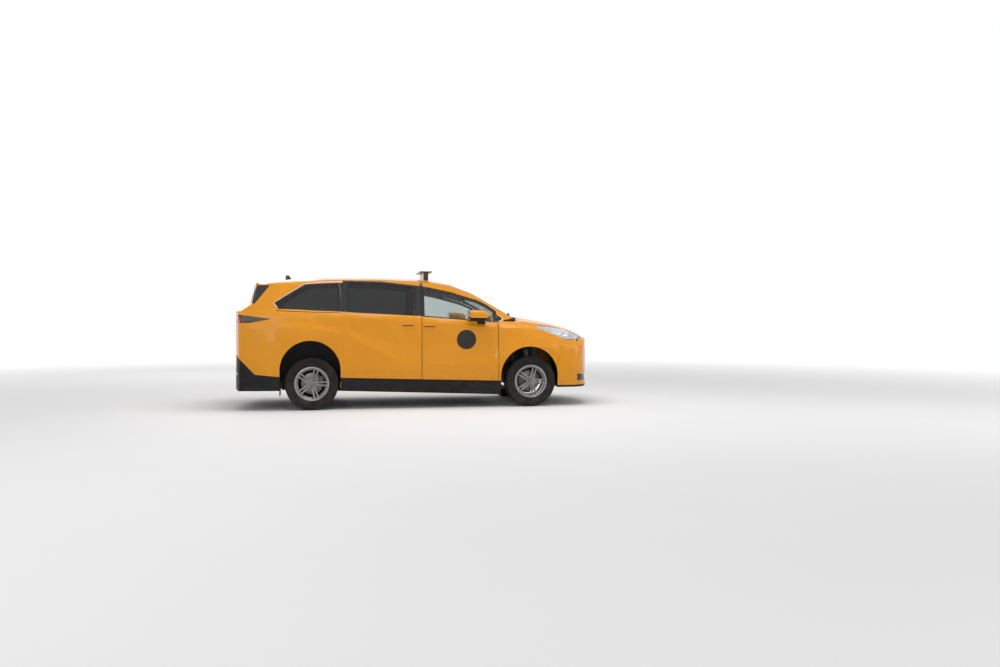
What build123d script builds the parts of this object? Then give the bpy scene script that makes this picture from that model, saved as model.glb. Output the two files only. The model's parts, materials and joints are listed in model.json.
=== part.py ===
from build123d import *
from math import cos, radians, sin
import os

os.makedirs("parts", exist_ok=True)

# Frame: millimetres, +X forward, +Y left, +Z up, origin on the ground under the middle of the length.

# Overall sizes and axles
nose_x = 2575
tail_x = -2575
front_axle_x = 1560
rear_axle_x = -1500
wheel_y = 860
wheel_z = 360

# Wheels and tyres
tyre_radius = 360
tyre_width = 235
bead_radius = 216
rim_radius = 233
rim_width = 204
hub_radius = 70
spindle_radius = 30
bearing_gap = 0.3
disc_radius = 148
disc_width = 26
spoke_pairs = 5

# Body walls, each measured inwards from the outer form
skin_wall = 25
door_wall = 54
rebate_wall = 60
body_wall = 95
glass_set = 4
glass_wall = 6
seat_gap = 0.3

# Gaps between panels
door_gap = 8
lid_gap = 8
tailgate_gap = 14
fixed_gap = 0.8

# Body heights
foot_z = 270
sill_front_x = 1106
sill_front_z = 374
sill_rise = 0.0296
skirt_front_z = 180
skirt_rise = 0.036
bumper_bottom_z = 300
tailgate_bottom_z = 740

# Wheel arches: centre x, centre z, radius
front_arch = (1545, 440, 417)
rear_arch = (-1520, 542, 408)

# Strut towers and tops
strut_top_y, strut_top_z = 602, 860
tower_radius, tower_wall = 84, 6

# Door edges
front_door_front_x = 1089
front_door_rear_x = 8
front_door_rear_top_x = 20
sliding_door_front_x = -1
sliding_door_rear_x = -1078
tailgate_front_x = -2170

# Tail on the middle line: height and place of the belt, of the shelf under the rear window and past the roof
belt_z, belt_tail_x = 1350, -2560
shelf_z, shelf_tail_x = 1452, -2400
roof_tail_z, roof_tail_x = 1900, -2270
tail_bow, tail_bow_y = 82, 735
door_top_inner_y = 708

# Front door hinge: a pin in the shut gap, where the body side is widest, on a leaf from the pillar
hinge_y, hinge_radius = 976, 3.5
hinge_low_z, hinge_length = 580, 110
hinge_leaf_wall, hinge_leaf_gap = 3, 1

# Tailgate hinges: barrels on the roof's rear edge
tailgate_hinge_z, tailgate_hinge_y, tailgate_hinge_radius, tailgate_hinge_length = 1787, 150, 7, 70

# Lower body sections, half of each:
# x, foot y, crease y, crease z, recess y, recess z, shoulder y, shoulder z, deck y, deck z, crown z
lower_sections = [
    (-2600, 880, 905, 1170, 885, 1222, 868, 1268, 815, 1345, 1352),
    (-2000, 955, 982, 1165, 955, 1225, 940, 1300, 895, 1383, 1395),
    (-1500, 965, 997, 1115, 968, 1185, 958, 1285, 915, 1366, 1380),
    (-1000, 945, 985, 1010, 958, 1110, 965, 1260, 922, 1350, 1365),
    (-300, 940, 972, 650, 946, 880, 962, 1230, 920, 1315, 1330),
    (600, 940, 970, 590, 944, 850, 955, 1160, 908, 1245, 1265),
    (1100, 945, 978, 640, 950, 880, 945, 1115, 888, 1212, 1262),
    (1500, 955, 988, 860, 955, 975, 905, 1120, 800, 1205, 1288),
    (1900, 950, 975, 830, 935, 940, 868, 1065, 745, 1150, 1217),
    (2200, 935, 940, 790, 900, 890, 800, 1005, 670, 1075, 1145),
    (2400, 905, 905, 750, 855, 840, 740, 940, 610, 1000, 1062),
    (2600, 860, 860, 700, 800, 770, 670, 850, 540, 895, 945),
]

# Cabin sections, half of each: x, base y, base z, rail y, rail z, crown z
cabin_sections = [
    (-2600, 850, 1290, 640, 1660, 1722),
    (-2250, 868, 1290, 690, 1715, 1776),
    (-1900, 893, 1290, 722, 1748, 1822),
    (-1400, 914, 1290, 752, 1774, 1848),
    (-600, 918, 1260, 765, 1784, 1853),
    (100, 912, 1230, 757, 1762, 1838),
    (450, 902, 1200, 738, 1705, 1781),
    (750, 888, 1180, 712, 1600, 1676),
    (1050, 868, 1150, 700, 1430, 1506),
    (1300, 840, 1100, 700, 1290, 1366),
    (1540, 800, 1050, 700, 1160, 1245),
]

# Far enough to pass right through the body
reach = 3000


def sill_z(x):
    """Height of the lower edge of the painted panels."""
    return sill_front_z + (sill_front_x - x) * sill_rise


def skirt_z(x):
    """Height of the lower edge of the side skirts."""
    return skirt_front_z + (sill_front_x - x) * skirt_rise


def both_sides(points):
    """The points of a left half outline, x and y, then their mirror images backwards."""
    return points + [(x, -y) for x, y in reversed(points)]


def across(points):
    """The points of a left half outline, y and z, then their mirror images backwards."""
    return points + [(-y, z) for y, z in reversed(points)]


def envelope(inset):
    """The outer form of the whole body, every surface moved inwards by inset."""
    foot = foot_z if inset == 0 else foot_z - rebate_wall
    with BuildPart() as cabin:
        for x, base_y, base_z, rail_y, rail_z, crown_z in cabin_sections:
            base = (base_y - inset, base_z - inset)
            rail = (rail_y - inset, rail_z - inset)
            with BuildSketch(Plane.YZ.offset(x)):
                with BuildLine():
                    Polyline((-rail[0], rail[1]), (-base[0], base[1]), base, rail)
                    ThreePointArc(rail, (0, crown_z - inset), (-rail[0], rail[1]))
                make_face()
        loft(ruled=True)
    with BuildPart() as form:
        for x, foot_y, crease_y, crease_z, recess_y, recess_z, *top in lower_sections:
            shoulder_y, shoulder_z, deck_y, deck_z, crown_z = top
            half = [
                (foot_y - inset, foot),
                (crease_y - inset, crease_z),
                (recess_y - inset, recess_z),
                (shoulder_y - inset, shoulder_z - inset / 3),
                (deck_y - inset, deck_z - inset),
            ]
            mirrored = [(-y, z) for y, z in reversed(half)]
            with BuildSketch(Plane.YZ.offset(x)):
                with BuildLine():
                    Polyline(*mirrored, *half)
                    ThreePointArc(half[-1], (0, crown_z - inset), mirrored[0])
                make_face()
        loft(ruled=True)
        add(cabin.part)
        with BuildSketch(Plane.XY):
            plan_outline()
            if inset:
                offset(amount=-inset)
        extrude(amount=reach, mode=Mode.INTERSECT)
        with BuildSketch(Plane.XZ):
            side_outline()
            if inset:
                offset(amount=-inset)
        extrude(amount=reach, both=True, mode=Mode.INTERSECT)
        add(tail_slope(inset), mode=Mode.INTERSECT)
    return form.part


def tail_slope(inset):
    """Everything in front of the tail: a shelf at the belt, then the leaning rear window, bowed from above."""
    flank_x, flank_y = 160, 1200
    steps = [(belt_z, belt_tail_x), (shelf_z, shelf_tail_x), (roof_tail_z, roof_tail_x)]
    with BuildPart() as form:
        with BuildSketch(Plane.XY):
            Rectangle(3 * nose_x, 2 * flank_y)
        extrude(amount=belt_z)
        for (low_z, low_x), (high_z, high_x) in zip(steps, steps[1:]):
            corner_x = low_x + tail_bow
            with BuildSketch(Plane.XY.offset(low_z)):
                with BuildLine() as path:
                    ThreePointArc((corner_x, -tail_bow_y), (low_x, 0), (corner_x, tail_bow_y))
                    Polyline((corner_x, tail_bow_y), (corner_x + flank_x, flank_y), (nose_x + 100, flank_y),
                             (nose_x + 100, -flank_y), (corner_x + flank_x, -flank_y), (corner_x, -tail_bow_y))
                make_face(path.edges())
                if inset:
                    offset(amount=-inset)
            lean = Vector(high_x - low_x, 0, high_z - low_z)
            extrude(amount=lean.length, dir=lean)
    return form.part


def plan_outline():
    """Outline of the body from above: bowed nose and tail with round corners."""
    nose_corner = (2440, 660)
    nose_bend = (2350, 835)
    nose_side = (2150, 960)
    tail_side = (-2150, 1000)
    tail_bend = (-2430, 930)
    tail_corner = (-2490, 760)
    flank_y = 1100
    with BuildLine() as path:
        ThreePointArc((nose_corner[0], -nose_corner[1]), (nose_x, 0), nose_corner)
        ThreePointArc((tail_corner[0], -tail_corner[1]), (tail_x, 0), tail_corner)
        for side in (1, -1):
            ThreePointArc(*((x, side * y) for x, y in (nose_corner, nose_bend, nose_side)))
            ThreePointArc(*((x, side * y) for x, y in (tail_side, tail_bend, tail_corner)))
            flank = (nose_side, (nose_side[0], flank_y), (tail_side[0], flank_y), tail_side)
            Polyline(*((x, side * y) for x, y in flank))
    make_face(path.edges())


def side_outline():
    """Outline of the body from the side, open above the bonnet and the roof."""
    chin = (2540, 100)
    bonnet_lip = (2470, 1060)
    with BuildLine() as path:
        ThreePointArc(chin, (nose_x + 1, 640), bonnet_lip)
        Polyline(bonnet_lip, (2300, 2100), (tail_x - 5, 2100), (tail_x - 5, chin[1]), chin)
    make_face(path.edges())


def grown(edges, grow, kind=Kind.INTERSECTION):
    """The flat face inside the edges, made larger by grow, joins the sketch."""
    face = make_face(edges, mode=Mode.PRIVATE)
    if grow:
        face = offset(face, amount=grow, kind=kind, mode=Mode.PRIVATE)
    add(face)


def outline(points, grow=0):
    """A closed flat outline through the points, made larger by grow."""
    with BuildLine() as path:
        Polyline(*points, close=True)
    grown(path.edges(), grow)


def arch_outline(arch, grow=0):
    """A round-topped wheel opening, straight below its centre."""
    x, z, radius = arch
    with Locations((x, z)):
        Circle(radius + grow)
    with Locations((x, z / 2)):
        Rectangle(2 * (radius + grow), z)


# Side-view outlines, x and z
front_door_outline = [
    (front_door_rear_x, sill_z(front_door_rear_x)),
    (front_door_front_x, sill_z(front_door_front_x)),
    (front_door_front_x, 1358),
    (930, 1462),
    (790, 1522),
    (447, 1620),
    (front_door_rear_top_x, 1709),
    (front_door_rear_x, 1260),
]
front_window_outline = [
    (48, 1294), (1044, 1213), (1044, 1352), (924, 1425), (793, 1482), (447, 1577), (48, 1663),
]
sliding_door_outline = [
    (sliding_door_rear_x, sill_z(sliding_door_rear_x)),
    (sliding_door_front_x, sill_z(sliding_door_front_x)),
    (sliding_door_front_x, 1714),
    (-560, 1772),
    (sliding_door_rear_x, 1782),
]
sliding_window_outline = [(-1004, 1351), (-85, 1302), (-85, 1684), (-560, 1732), (-1004, 1743)]
quarter_window_outline = [(-1935, 1387), (-1150, 1360), (-1150, 1742), (-1590, 1716), (-1993, 1465)]
corner_window_outline = [(1097, 1214), (1170, 1240), (1172, 1262), (1097, 1312)]
tail_lamp_outline = [(-2700, 1186), (-2327, 1191), (-2031, 1246), (-2200, 1268), (-2451, 1299), (-2700, 1299)]
headlamp_outline = [(1675, 1118), (2104, 954), (2267, 957), (2420, 985), (2420, 1300), (1800, 1300)]
rear_bumper_outline = [(-1700, 200), (-1700, 445), (-1927, 458), (-2252, 492), (-2480, 732), (-2700, 732), (-2700, 200)]
front_bumper_outline = [
    (1955, bumper_bottom_z), (1955, 600), (2035, 900), (2104, 948), (2267, 951), (2420, 979),
    (2700, 979), (2700, bumper_bottom_z),
]
fender_outline = [
    (front_door_front_x + door_gap, sill_z(front_door_front_x)), (front_door_front_x + door_gap, 1209), (1340, 1256), (1340, 1500),
    (1937, 1500), (1675, 1118), (2104, 954), (2032, 900), (1952, 600), (1952, sill_z(front_door_front_x)),
]

pillar_foot_x = 1340 - fixed_gap

# Plan outlines, x and y of the left half from front to back or back to front
roof_half = [(500, 665), (100, 697), (-600, 706), (-1400, 693), (tailgate_front_x + lid_gap, 642)]
windscreen_half = [(1350, 672), (1050, 655), (750, 668), (506, 684)]
windscreen_foot_x = 1440
bonnet_side = [(1352, 812), (1520, 806), (1900, 735), (2200, 640), (2350, 560)]
fender_inner_y = 782
bonnet_rear_x = 1490
bonnet_front_x = 2512

# Rear-view outline of the tailgate, y and z of the left half
tailgate_half = [(752, tailgate_bottom_z), (772, 1180), (748, 1300), (658, 1690), (640, 1900)]
tailgate_glass_half = [(690, 1464), (640, 1672), (600, 1700)]


def bonnet_outline(grow=0):
    """Outline of the bonnet from above, bowed at both ends."""
    rear_corner = bonnet_side[0]
    front_corner = bonnet_side[-1]
    with BuildLine() as path:
        ThreePointArc((rear_corner[0], -rear_corner[1]), (bonnet_rear_x, 0), rear_corner)
        ThreePointArc((front_corner[0], -front_corner[1]), (bonnet_front_x, 0), front_corner)
        for side in (1, -1):
            Polyline(*((x, side * y) for x, y in bonnet_side))
    grown(path.edges(), grow, Kind.ARC)


def windscreen_outline(grow=0):
    """Outline of the windscreen from above, with a bowed lower edge."""
    corner = windscreen_half[0]
    with BuildLine() as path:
        ThreePointArc((corner[0], -corner[1]), (windscreen_foot_x, 0), corner)
        Polyline(*both_sides(windscreen_half))
    grown(path.edges(), grow, Kind.ARC)


# Forms nested one inside the other
outer_form = envelope(0)
skin_form = envelope(skin_wall)
door_form = envelope(door_wall)
rebate_form = envelope(rebate_wall)
body_form = envelope(body_wall)
cabin_space = envelope(body_wall + seat_gap)
glass_outer_form = envelope(glass_set)
glass_inner_form = envelope(glass_set + glass_wall)

# Front doors: right one first, the left is its mirror image
with BuildPart() as front_door_right:
    add(outer_form)
    with BuildSketch(Plane.XZ):
        outline(front_door_outline)
    extrude(amount=reach, mode=Mode.INTERSECT)
    add(door_form, mode=Mode.SUBTRACT)
    with BuildSketch(Plane.XZ):
        outline(front_window_outline)
    extrude(amount=reach, mode=Mode.SUBTRACT)
    with BuildSketch(Plane.XY.offset(foot_z)):
        Rectangle(2 * reach, 2 * door_top_inner_y)
    extrude(amount=reach, mode=Mode.SUBTRACT)
    with BuildSketch(Plane.XY.offset(hinge_low_z - seat_gap)):
        with Locations((front_door_front_x, -hinge_y)):
            Circle(hinge_radius + seat_gap)
    extrude(amount=hinge_length + 2 * seat_gap, mode=Mode.SUBTRACT)
    handle_x, handle_z, handle_length, handle_y = 112, 1164, 168, -962
    with BuildSketch(Plane.YZ.offset(handle_x - handle_length / 2)):
        with Locations((handle_y, handle_z)):
            RectangleRounded(46, 30, 8)
    extrude(amount=handle_length)

with BuildPart() as front_door_left:
    mirror(front_door_right.part, about=Plane.XZ)

with BuildPart() as front_door_glass_right:
    add(glass_outer_form)
    with BuildSketch(Plane.XZ):
        outline(front_window_outline)
    extrude(amount=reach, mode=Mode.INTERSECT)
    add(glass_inner_form, mode=Mode.SUBTRACT)

with BuildPart() as front_door_glass_left:
    mirror(front_door_glass_right.part, about=Plane.XZ)

# Door mirrors: a long rounded shell, blunt behind, on a short foot from the door's front corner.
# Shell sections: x, width, height, corner radius
mirror_y, mirror_z = -1072, 1292
mirror_sections = [(650, 236, 152, 48), (780, 240, 156, 54), (880, 190, 124, 52), (925, 110, 66, 28)]
foot_x, foot_depth, foot_width = 850, 110, 50
with BuildPart() as mirror_right:
    for x, width, height, corner in mirror_sections:
        with BuildSketch(Plane.YZ.offset(x)):
            with Locations((mirror_y, mirror_z)):
                RectangleRounded(width, height, corner)
    loft(ruled=True)
    foot_top_z = mirror_z - 40
    with BuildSketch(Plane.XY.offset(foot_top_z - 70)):
        with Locations((foot_x, mirror_y + 140)):
            RectangleRounded(foot_depth, foot_width, 20)
    with BuildSketch(Plane.XY.offset(foot_top_z)):
        with Locations((foot_x - 30, mirror_y + 70)):
            RectangleRounded(foot_depth, foot_width, 20)
    loft()
    add(outer_form, mode=Mode.SUBTRACT)

with BuildPart() as mirror_left:
    mirror(mirror_right.part, about=Plane.XZ)

# Sliding doors
with BuildPart() as sliding_door_right:
    add(outer_form)
    with BuildSketch(Plane.XZ):
        outline(sliding_door_outline)
    extrude(amount=reach, mode=Mode.INTERSECT)
    add(door_form, mode=Mode.SUBTRACT)
    with BuildSketch(Plane.XZ):
        outline(sliding_window_outline)
    extrude(amount=reach, mode=Mode.SUBTRACT)
    with BuildSketch(Plane.XY.offset(foot_z)):
        Rectangle(2 * reach, 2 * door_top_inner_y)
    extrude(amount=reach, mode=Mode.SUBTRACT)
    handle_x, handle_z = -195, 1178
    with BuildSketch(Plane.YZ.offset(handle_x - handle_length / 2)):
        with Locations((handle_y, handle_z)):
            RectangleRounded(46, 30, 8)
    extrude(amount=handle_length)

with BuildPart() as sliding_door_left:
    mirror(sliding_door_right.part, about=Plane.XZ)

with BuildPart() as sliding_door_glass:
    add(glass_outer_form)
    with BuildSketch(Plane.XZ):
        outline(sliding_window_outline)
    extrude(amount=reach, both=True, mode=Mode.INTERSECT)
    add(glass_inner_form, mode=Mode.SUBTRACT)

# Body sides: stepped door openings, wheel arches, rear quarter and roof rail
with BuildPart() as door_pockets:
    add(outer_form)
    with BuildSketch(Plane.XZ):
        outline(front_door_outline, grow=door_gap)
        outline(sliding_door_outline, grow=1)
        outline([(front_door_front_x + 200, 0), (front_door_front_x + 200, sill_z(front_door_front_x + 200)),
                 (-1700, sill_z(-1700)), (-1700, 0)])
    extrude(amount=reach, mode=Mode.INTERSECT)
    add(rebate_form, mode=Mode.SUBTRACT)

rebate_lap = 36
pillar_front_x = front_door_front_x + door_gap - fixed_gap
with BuildPart() as body_side_right:
    add(outer_form)
    with BuildSketch(Plane.XZ):
        outline([(-2700, foot_z), (pillar_front_x, foot_z), (pillar_front_x, 1211),
                 (pillar_foot_x, 1262), (pillar_foot_x, 1500), (900, 1900), (-2700, 1900)])
    extrude(amount=reach, mode=Mode.INTERSECT)
    add(body_form, mode=Mode.SUBTRACT)
    add(door_pockets.part, mode=Mode.SUBTRACT)
    with BuildSketch(Plane.XZ):
        outline(front_door_outline, grow=-rebate_lap)
        outline(sliding_door_outline, grow=-rebate_lap)
        outline(quarter_window_outline)
        outline(corner_window_outline)
        arch_outline(rear_arch)
        outline(rear_bumper_outline, grow=fixed_gap)
        outline(tail_lamp_outline, grow=fixed_gap)
    extrude(amount=reach, mode=Mode.SUBTRACT)
    with BuildSketch(Plane.XY.offset(1250)):
        outline(both_sides(roof_half), grow=fixed_gap)
        windscreen_outline(grow=fixed_gap)
    extrude(amount=reach, mode=Mode.SUBTRACT)
    with BuildSketch(Plane.YZ.offset(tailgate_front_x + lid_gap)):
        outline(across(tailgate_half), grow=tailgate_gap)
    extrude(amount=-reach, mode=Mode.SUBTRACT)
    leaf_root_y = 900
    with BuildSketch(Plane.XY.offset(hinge_low_z)):
        with Locations((front_door_front_x, -hinge_y)):
            Circle(hinge_radius)
        with Locations((front_door_front_x + hinge_leaf_gap, -leaf_root_y)):
            Rectangle(hinge_leaf_wall, hinge_y - leaf_root_y, align=(Align.MIN, Align.MAX))
    extrude(amount=hinge_length)

# Rubber seals round the door openings, just clear of the closed doors. At the front corner of the belt, where the
# opening door turns inwards, they leave off.
seal_form = envelope(door_wall + seat_gap)
seal_lap, seal_width = 4, 26
seal_break_x, seal_break_low_z, seal_break_high_z = 1045, 1088, 1276
with BuildPart() as door_seals:
    add(seal_form)
    with BuildSketch(Plane.XZ):
        for door in (front_door_outline, sliding_door_outline):
            with BuildLine() as path:
                Polyline(*door, close=True)
            rim_face = make_face(path.edges(), mode=Mode.PRIVATE)
            add(offset(rim_face, amount=-seal_lap, kind=Kind.INTERSECTION, mode=Mode.PRIVATE))
            hole = offset(rim_face, amount=-seal_lap - seal_width, kind=Kind.INTERSECTION, mode=Mode.PRIVATE)
            add(hole, mode=Mode.SUBTRACT)
    extrude(amount=reach, both=True, mode=Mode.INTERSECT)
    add(rebate_form, mode=Mode.SUBTRACT)
    with BuildSketch(Plane.XY.offset(foot_z)):
        Rectangle(2 * reach, 2 * door_top_inner_y)
    extrude(amount=reach, mode=Mode.SUBTRACT)
    with BuildSketch(Plane.XY.offset(seal_break_low_z)):
        with Locations((seal_break_x, 0)):
            Rectangle(front_door_front_x - seal_break_x, reach, align=(Align.MIN, Align.CENTER))
    extrude(amount=seal_break_high_z - seal_break_low_z, mode=Mode.SUBTRACT)

with BuildPart() as body_side_left:
    mirror(body_side_right.part, about=Plane.XZ)

with BuildPart() as quarter_glass:
    add(glass_outer_form)
    with BuildSketch(Plane.XZ):
        outline(quarter_window_outline)
        outline(corner_window_outline)
    extrude(amount=reach, both=True, mode=Mode.INTERSECT)
    add(glass_inner_form, mode=Mode.SUBTRACT)

with BuildPart() as roof_panel:
    add(outer_form)
    with BuildSketch(Plane.XY.offset(1250)):
        outline(both_sides(roof_half))
    extrude(amount=reach, mode=Mode.INTERSECT)
    add(skin_form, mode=Mode.SUBTRACT)
    for side in (1, -1):
        hinge_start_y = side * tailgate_hinge_y - tailgate_hinge_length / 2
        with BuildSketch(Plane.XZ.offset(-hinge_start_y)):
            with Locations((tailgate_front_x, tailgate_hinge_z)):
                Circle(tailgate_hinge_radius)
            with Locations((tailgate_front_x + 2, tailgate_hinge_z - 1)):
                Rectangle(40, 6, align=(Align.MIN, Align.MAX))
        extrude(amount=-tailgate_hinge_length)

with BuildPart() as windscreen:
    add(glass_outer_form)
    with BuildSketch(Plane.XY.offset(1150)):
        windscreen_outline()
    extrude(amount=reach, mode=Mode.INTERSECT)
    add(glass_inner_form, mode=Mode.SUBTRACT)

with BuildPart() as fenders:
    add(outer_form)
    with BuildSketch(Plane.XZ):
        outline(fender_outline)
    extrude(amount=reach, both=True, mode=Mode.INTERSECT)
    add(skin_form, mode=Mode.SUBTRACT)
    with BuildSketch(Plane.XZ):
        arch_outline(front_arch)
        outline(headlamp_outline, grow=fixed_gap)
    extrude(amount=reach, both=True, mode=Mode.SUBTRACT)
    with BuildSketch(Plane.XY.offset(foot_z)):
        bonnet_outline(grow=lid_gap)
        windscreen_outline(grow=fixed_gap)
        Rectangle(2 * reach, 2 * fender_inner_y)
    extrude(amount=reach, mode=Mode.SUBTRACT)

with BuildPart() as bonnet:
    add(outer_form)
    with BuildSketch(Plane.XY.offset(945)):
        bonnet_outline()
    extrude(amount=reach, mode=Mode.INTERSECT)
    add(skin_form, mode=Mode.SUBTRACT)

cowl_half_y = fender_inner_y - seat_gap
cowl_corner_x = 1354
with BuildPart() as cowl_panel:
    add(outer_form)
    with BuildSketch(Plane.XY.offset(1100)):
        with BuildLine():
            ThreePointArc((cowl_corner_x, -cowl_half_y), (bonnet_rear_x - lid_gap, 0), (cowl_corner_x, cowl_half_y))
            Polyline((cowl_corner_x, cowl_half_y), (pillar_foot_x + fixed_gap, cowl_half_y),
                     (pillar_foot_x + fixed_gap, -cowl_half_y), (cowl_corner_x, -cowl_half_y))
        make_face()
    extrude(amount=reach, mode=Mode.INTERSECT)
    add(skin_form, mode=Mode.SUBTRACT)
    with BuildSketch(Plane.XY.offset(1100)):
        windscreen_outline(grow=fixed_gap)
    extrude(amount=reach, mode=Mode.SUBTRACT)

lamp_wall = 10
with BuildPart() as lamp_pockets:
    add(glass_inner_form)
    add(door_form, mode=Mode.SUBTRACT)
    with BuildSketch(Plane.XZ):
        outline(headlamp_outline, grow=-lamp_wall)
    extrude(amount=reach, both=True, mode=Mode.INTERSECT)
    with BuildSketch(Plane.XY.offset(foot_z)):
        bonnet_outline(grow=lid_gap + lamp_wall)
    extrude(amount=reach, mode=Mode.SUBTRACT)

with BuildPart() as headlamp_housings:
    add(glass_inner_form)
    add(rebate_form, mode=Mode.SUBTRACT)
    with BuildSketch(Plane.XZ):
        outline(headlamp_outline)
    extrude(amount=reach, both=True, mode=Mode.INTERSECT)
    with BuildSketch(Plane.XY.offset(foot_z)):
        bonnet_outline(grow=lid_gap)
    extrude(amount=reach, mode=Mode.SUBTRACT)
    add(lamp_pockets.part, mode=Mode.SUBTRACT)

with BuildPart() as headlamp_lenses:
    add(glass_outer_form)
    with BuildSketch(Plane.XZ):
        outline(headlamp_outline)
    extrude(amount=reach, both=True, mode=Mode.INTERSECT)
    add(glass_inner_form, mode=Mode.SUBTRACT)
    with BuildSketch(Plane.XY.offset(foot_z)):
        bonnet_outline(grow=lid_gap)
    extrude(amount=reach, mode=Mode.SUBTRACT)

# Front bumper with a slim upper opening and a wide lower one that runs round the corners
upper_grille_z, upper_grille_height, upper_grille_width = 885, 62, 900
lower_grille_outline = [(2262, 362), (2262, 462), (2430, 442), (2700, 442), (2700, 362)]
with BuildPart() as front_bumper:
    add(outer_form)
    with BuildSketch(Plane.XZ):
        outline(front_bumper_outline)
    extrude(amount=reach, both=True, mode=Mode.INTERSECT)
    add(skin_form, mode=Mode.SUBTRACT)
    with BuildSketch(Plane.XZ):
        arch_outline(front_arch)
        outline(lower_grille_outline)
        outline(headlamp_outline, grow=fixed_gap)
    extrude(amount=reach, both=True, mode=Mode.SUBTRACT)
    with BuildSketch(Plane.XY.offset(foot_z)):
        with Locations((1900, 0)):
            Rectangle(800, 2 * upper_grille_width - 160)
    extrude(amount=reach, mode=Mode.SUBTRACT)
    with BuildSketch(Plane.XY.offset(900)):
        bonnet_outline(grow=lid_gap)
    extrude(amount=reach, mode=Mode.SUBTRACT)
    with BuildSketch(Plane.YZ.offset(2300)):
        with Locations((0, upper_grille_z)):
            RectangleRounded(upper_grille_width, upper_grille_height, 20)
    extrude(amount=reach, mode=Mode.SUBTRACT)

slat_pitch, slat_gap, rib_pitch, rib_gap = 24, 15, 150, 142
with BuildPart() as grilles:
    add(glass_inner_form)
    add(skin_form, mode=Mode.SUBTRACT)
    with BuildSketch(Plane.XZ):
        outline(lower_grille_outline)
        with Locations((2500, upper_grille_z)):
            Rectangle(400, upper_grille_height)
    extrude(amount=reach, both=True, mode=Mode.INTERSECT)
    with BuildSketch(Plane.YZ.offset(2230)):
        with Locations((0, upper_grille_z)):
            Rectangle(3000, upper_grille_height + 40)
            RectangleRounded(upper_grille_width, upper_grille_height, 20, mode=Mode.SUBTRACT)
    extrude(amount=reach, mode=Mode.SUBTRACT)
    with BuildSketch(Plane.YZ.offset(2230)):
        with Locations((0, upper_grille_z)):
            with GridLocations(rib_pitch, slat_pitch, 6, 2):
                Rectangle(rib_gap, slat_gap)
        with Locations((0, (362 + 442) / 2)):
            with GridLocations(rib_pitch, slat_pitch, 9, 3):
                Rectangle(rib_gap, slat_gap)
    extrude(amount=reach, mode=Mode.SUBTRACT)

with BuildPart() as front_lip:
    add(outer_form)
    with BuildSketch(Plane.XZ):
        outline([(1700, 200), (1700, bumper_bottom_z - fixed_gap), (2700, bumper_bottom_z - fixed_gap), (2700, 200)])
    extrude(amount=reach, both=True, mode=Mode.INTERSECT)
    add(rebate_form, mode=Mode.SUBTRACT)
    with BuildSketch(Plane.XZ):
        arch_outline(front_arch)
    extrude(amount=reach, both=True, mode=Mode.SUBTRACT)

# Rear end
with BuildPart() as rear_bumper:
    add(outer_form)
    with BuildSketch(Plane.XZ):
        outline(rear_bumper_outline)
    extrude(amount=reach, both=True, mode=Mode.INTERSECT)
    add(rebate_form, mode=Mode.SUBTRACT)
    with BuildSketch(Plane.XZ):
        arch_outline(rear_arch)
    extrude(amount=reach, both=True, mode=Mode.SUBTRACT)

tailgate_lamp_inner_y = 540
with BuildPart() as tailgate_lamps:
    add(outer_form)
    with BuildSketch(Plane.XZ):
        outline(tail_lamp_outline)
    extrude(amount=reach, both=True, mode=Mode.INTERSECT)
    add(skin_form, mode=Mode.SUBTRACT)
    with BuildSketch(Plane.YZ.offset(tailgate_front_x)):
        outline(across(tailgate_half))
        Rectangle(2 * tailgate_lamp_inner_y, reach, mode=Mode.SUBTRACT)
    extrude(amount=-reach, mode=Mode.INTERSECT)

with BuildPart() as tailgate:
    add(outer_form)
    with BuildSketch(Plane.YZ.offset(tailgate_front_x)):
        outline(across(tailgate_half))
    extrude(amount=-reach, mode=Mode.INTERSECT)
    add(door_form, mode=Mode.SUBTRACT)
    with BuildSketch(Plane.YZ.offset(tailgate_front_x)):
        outline(across(tailgate_glass_half))
    extrude(amount=-reach, mode=Mode.SUBTRACT)
    add(tailgate_lamps.part, mode=Mode.SUBTRACT)
    for side in (1, -1):
        bore_start_y = side * tailgate_hinge_y - tailgate_hinge_length / 2 - seat_gap
        with BuildSketch(Plane.XZ.offset(-bore_start_y)):
            with Locations((tailgate_front_x, tailgate_hinge_z)):
                Circle(tailgate_hinge_radius + seat_gap)
        extrude(amount=-tailgate_hinge_length - 2 * seat_gap, mode=Mode.SUBTRACT)

with BuildPart() as tailgate_glass:
    add(glass_outer_form)
    with BuildSketch(Plane.YZ.offset(tailgate_front_x)):
        outline(across(tailgate_glass_half))
    extrude(amount=-reach, mode=Mode.INTERSECT)
    add(glass_inner_form, mode=Mode.SUBTRACT)

with BuildPart() as tail_lamps:
    add(outer_form)
    with BuildSketch(Plane.XZ):
        outline(tail_lamp_outline)
    extrude(amount=reach, both=True, mode=Mode.INTERSECT)
    add(rebate_form, mode=Mode.SUBTRACT)
    with BuildSketch(Plane.YZ.offset(tailgate_front_x + lid_gap)):
        outline(across(tailgate_half), grow=tailgate_gap)
    extrude(amount=-reach, mode=Mode.SUBTRACT)

# Side skirts: a bent section from the front arch to the rear one, against the sill
sill_form = envelope(rebate_wall - seat_gap)
skirt_front_x, skirt_rear_x = 1124, -1108
with BuildPart() as side_skirts:
    for x in (skirt_rear_x, skirt_front_x):
        low = skirt_z(x)
        with BuildSketch(Plane.YZ.offset(x)):
            outline([
                (-850, sill_z(x) - lid_gap), (-943, sill_z(x) - lid_gap), (-947, low + 44), (-962, low + 36),
                (-958, low), (-850, low),
            ])
    loft(ruled=True)
    add(sill_form, mode=Mode.SUBTRACT)
    mirror(about=Plane.XZ)

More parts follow.
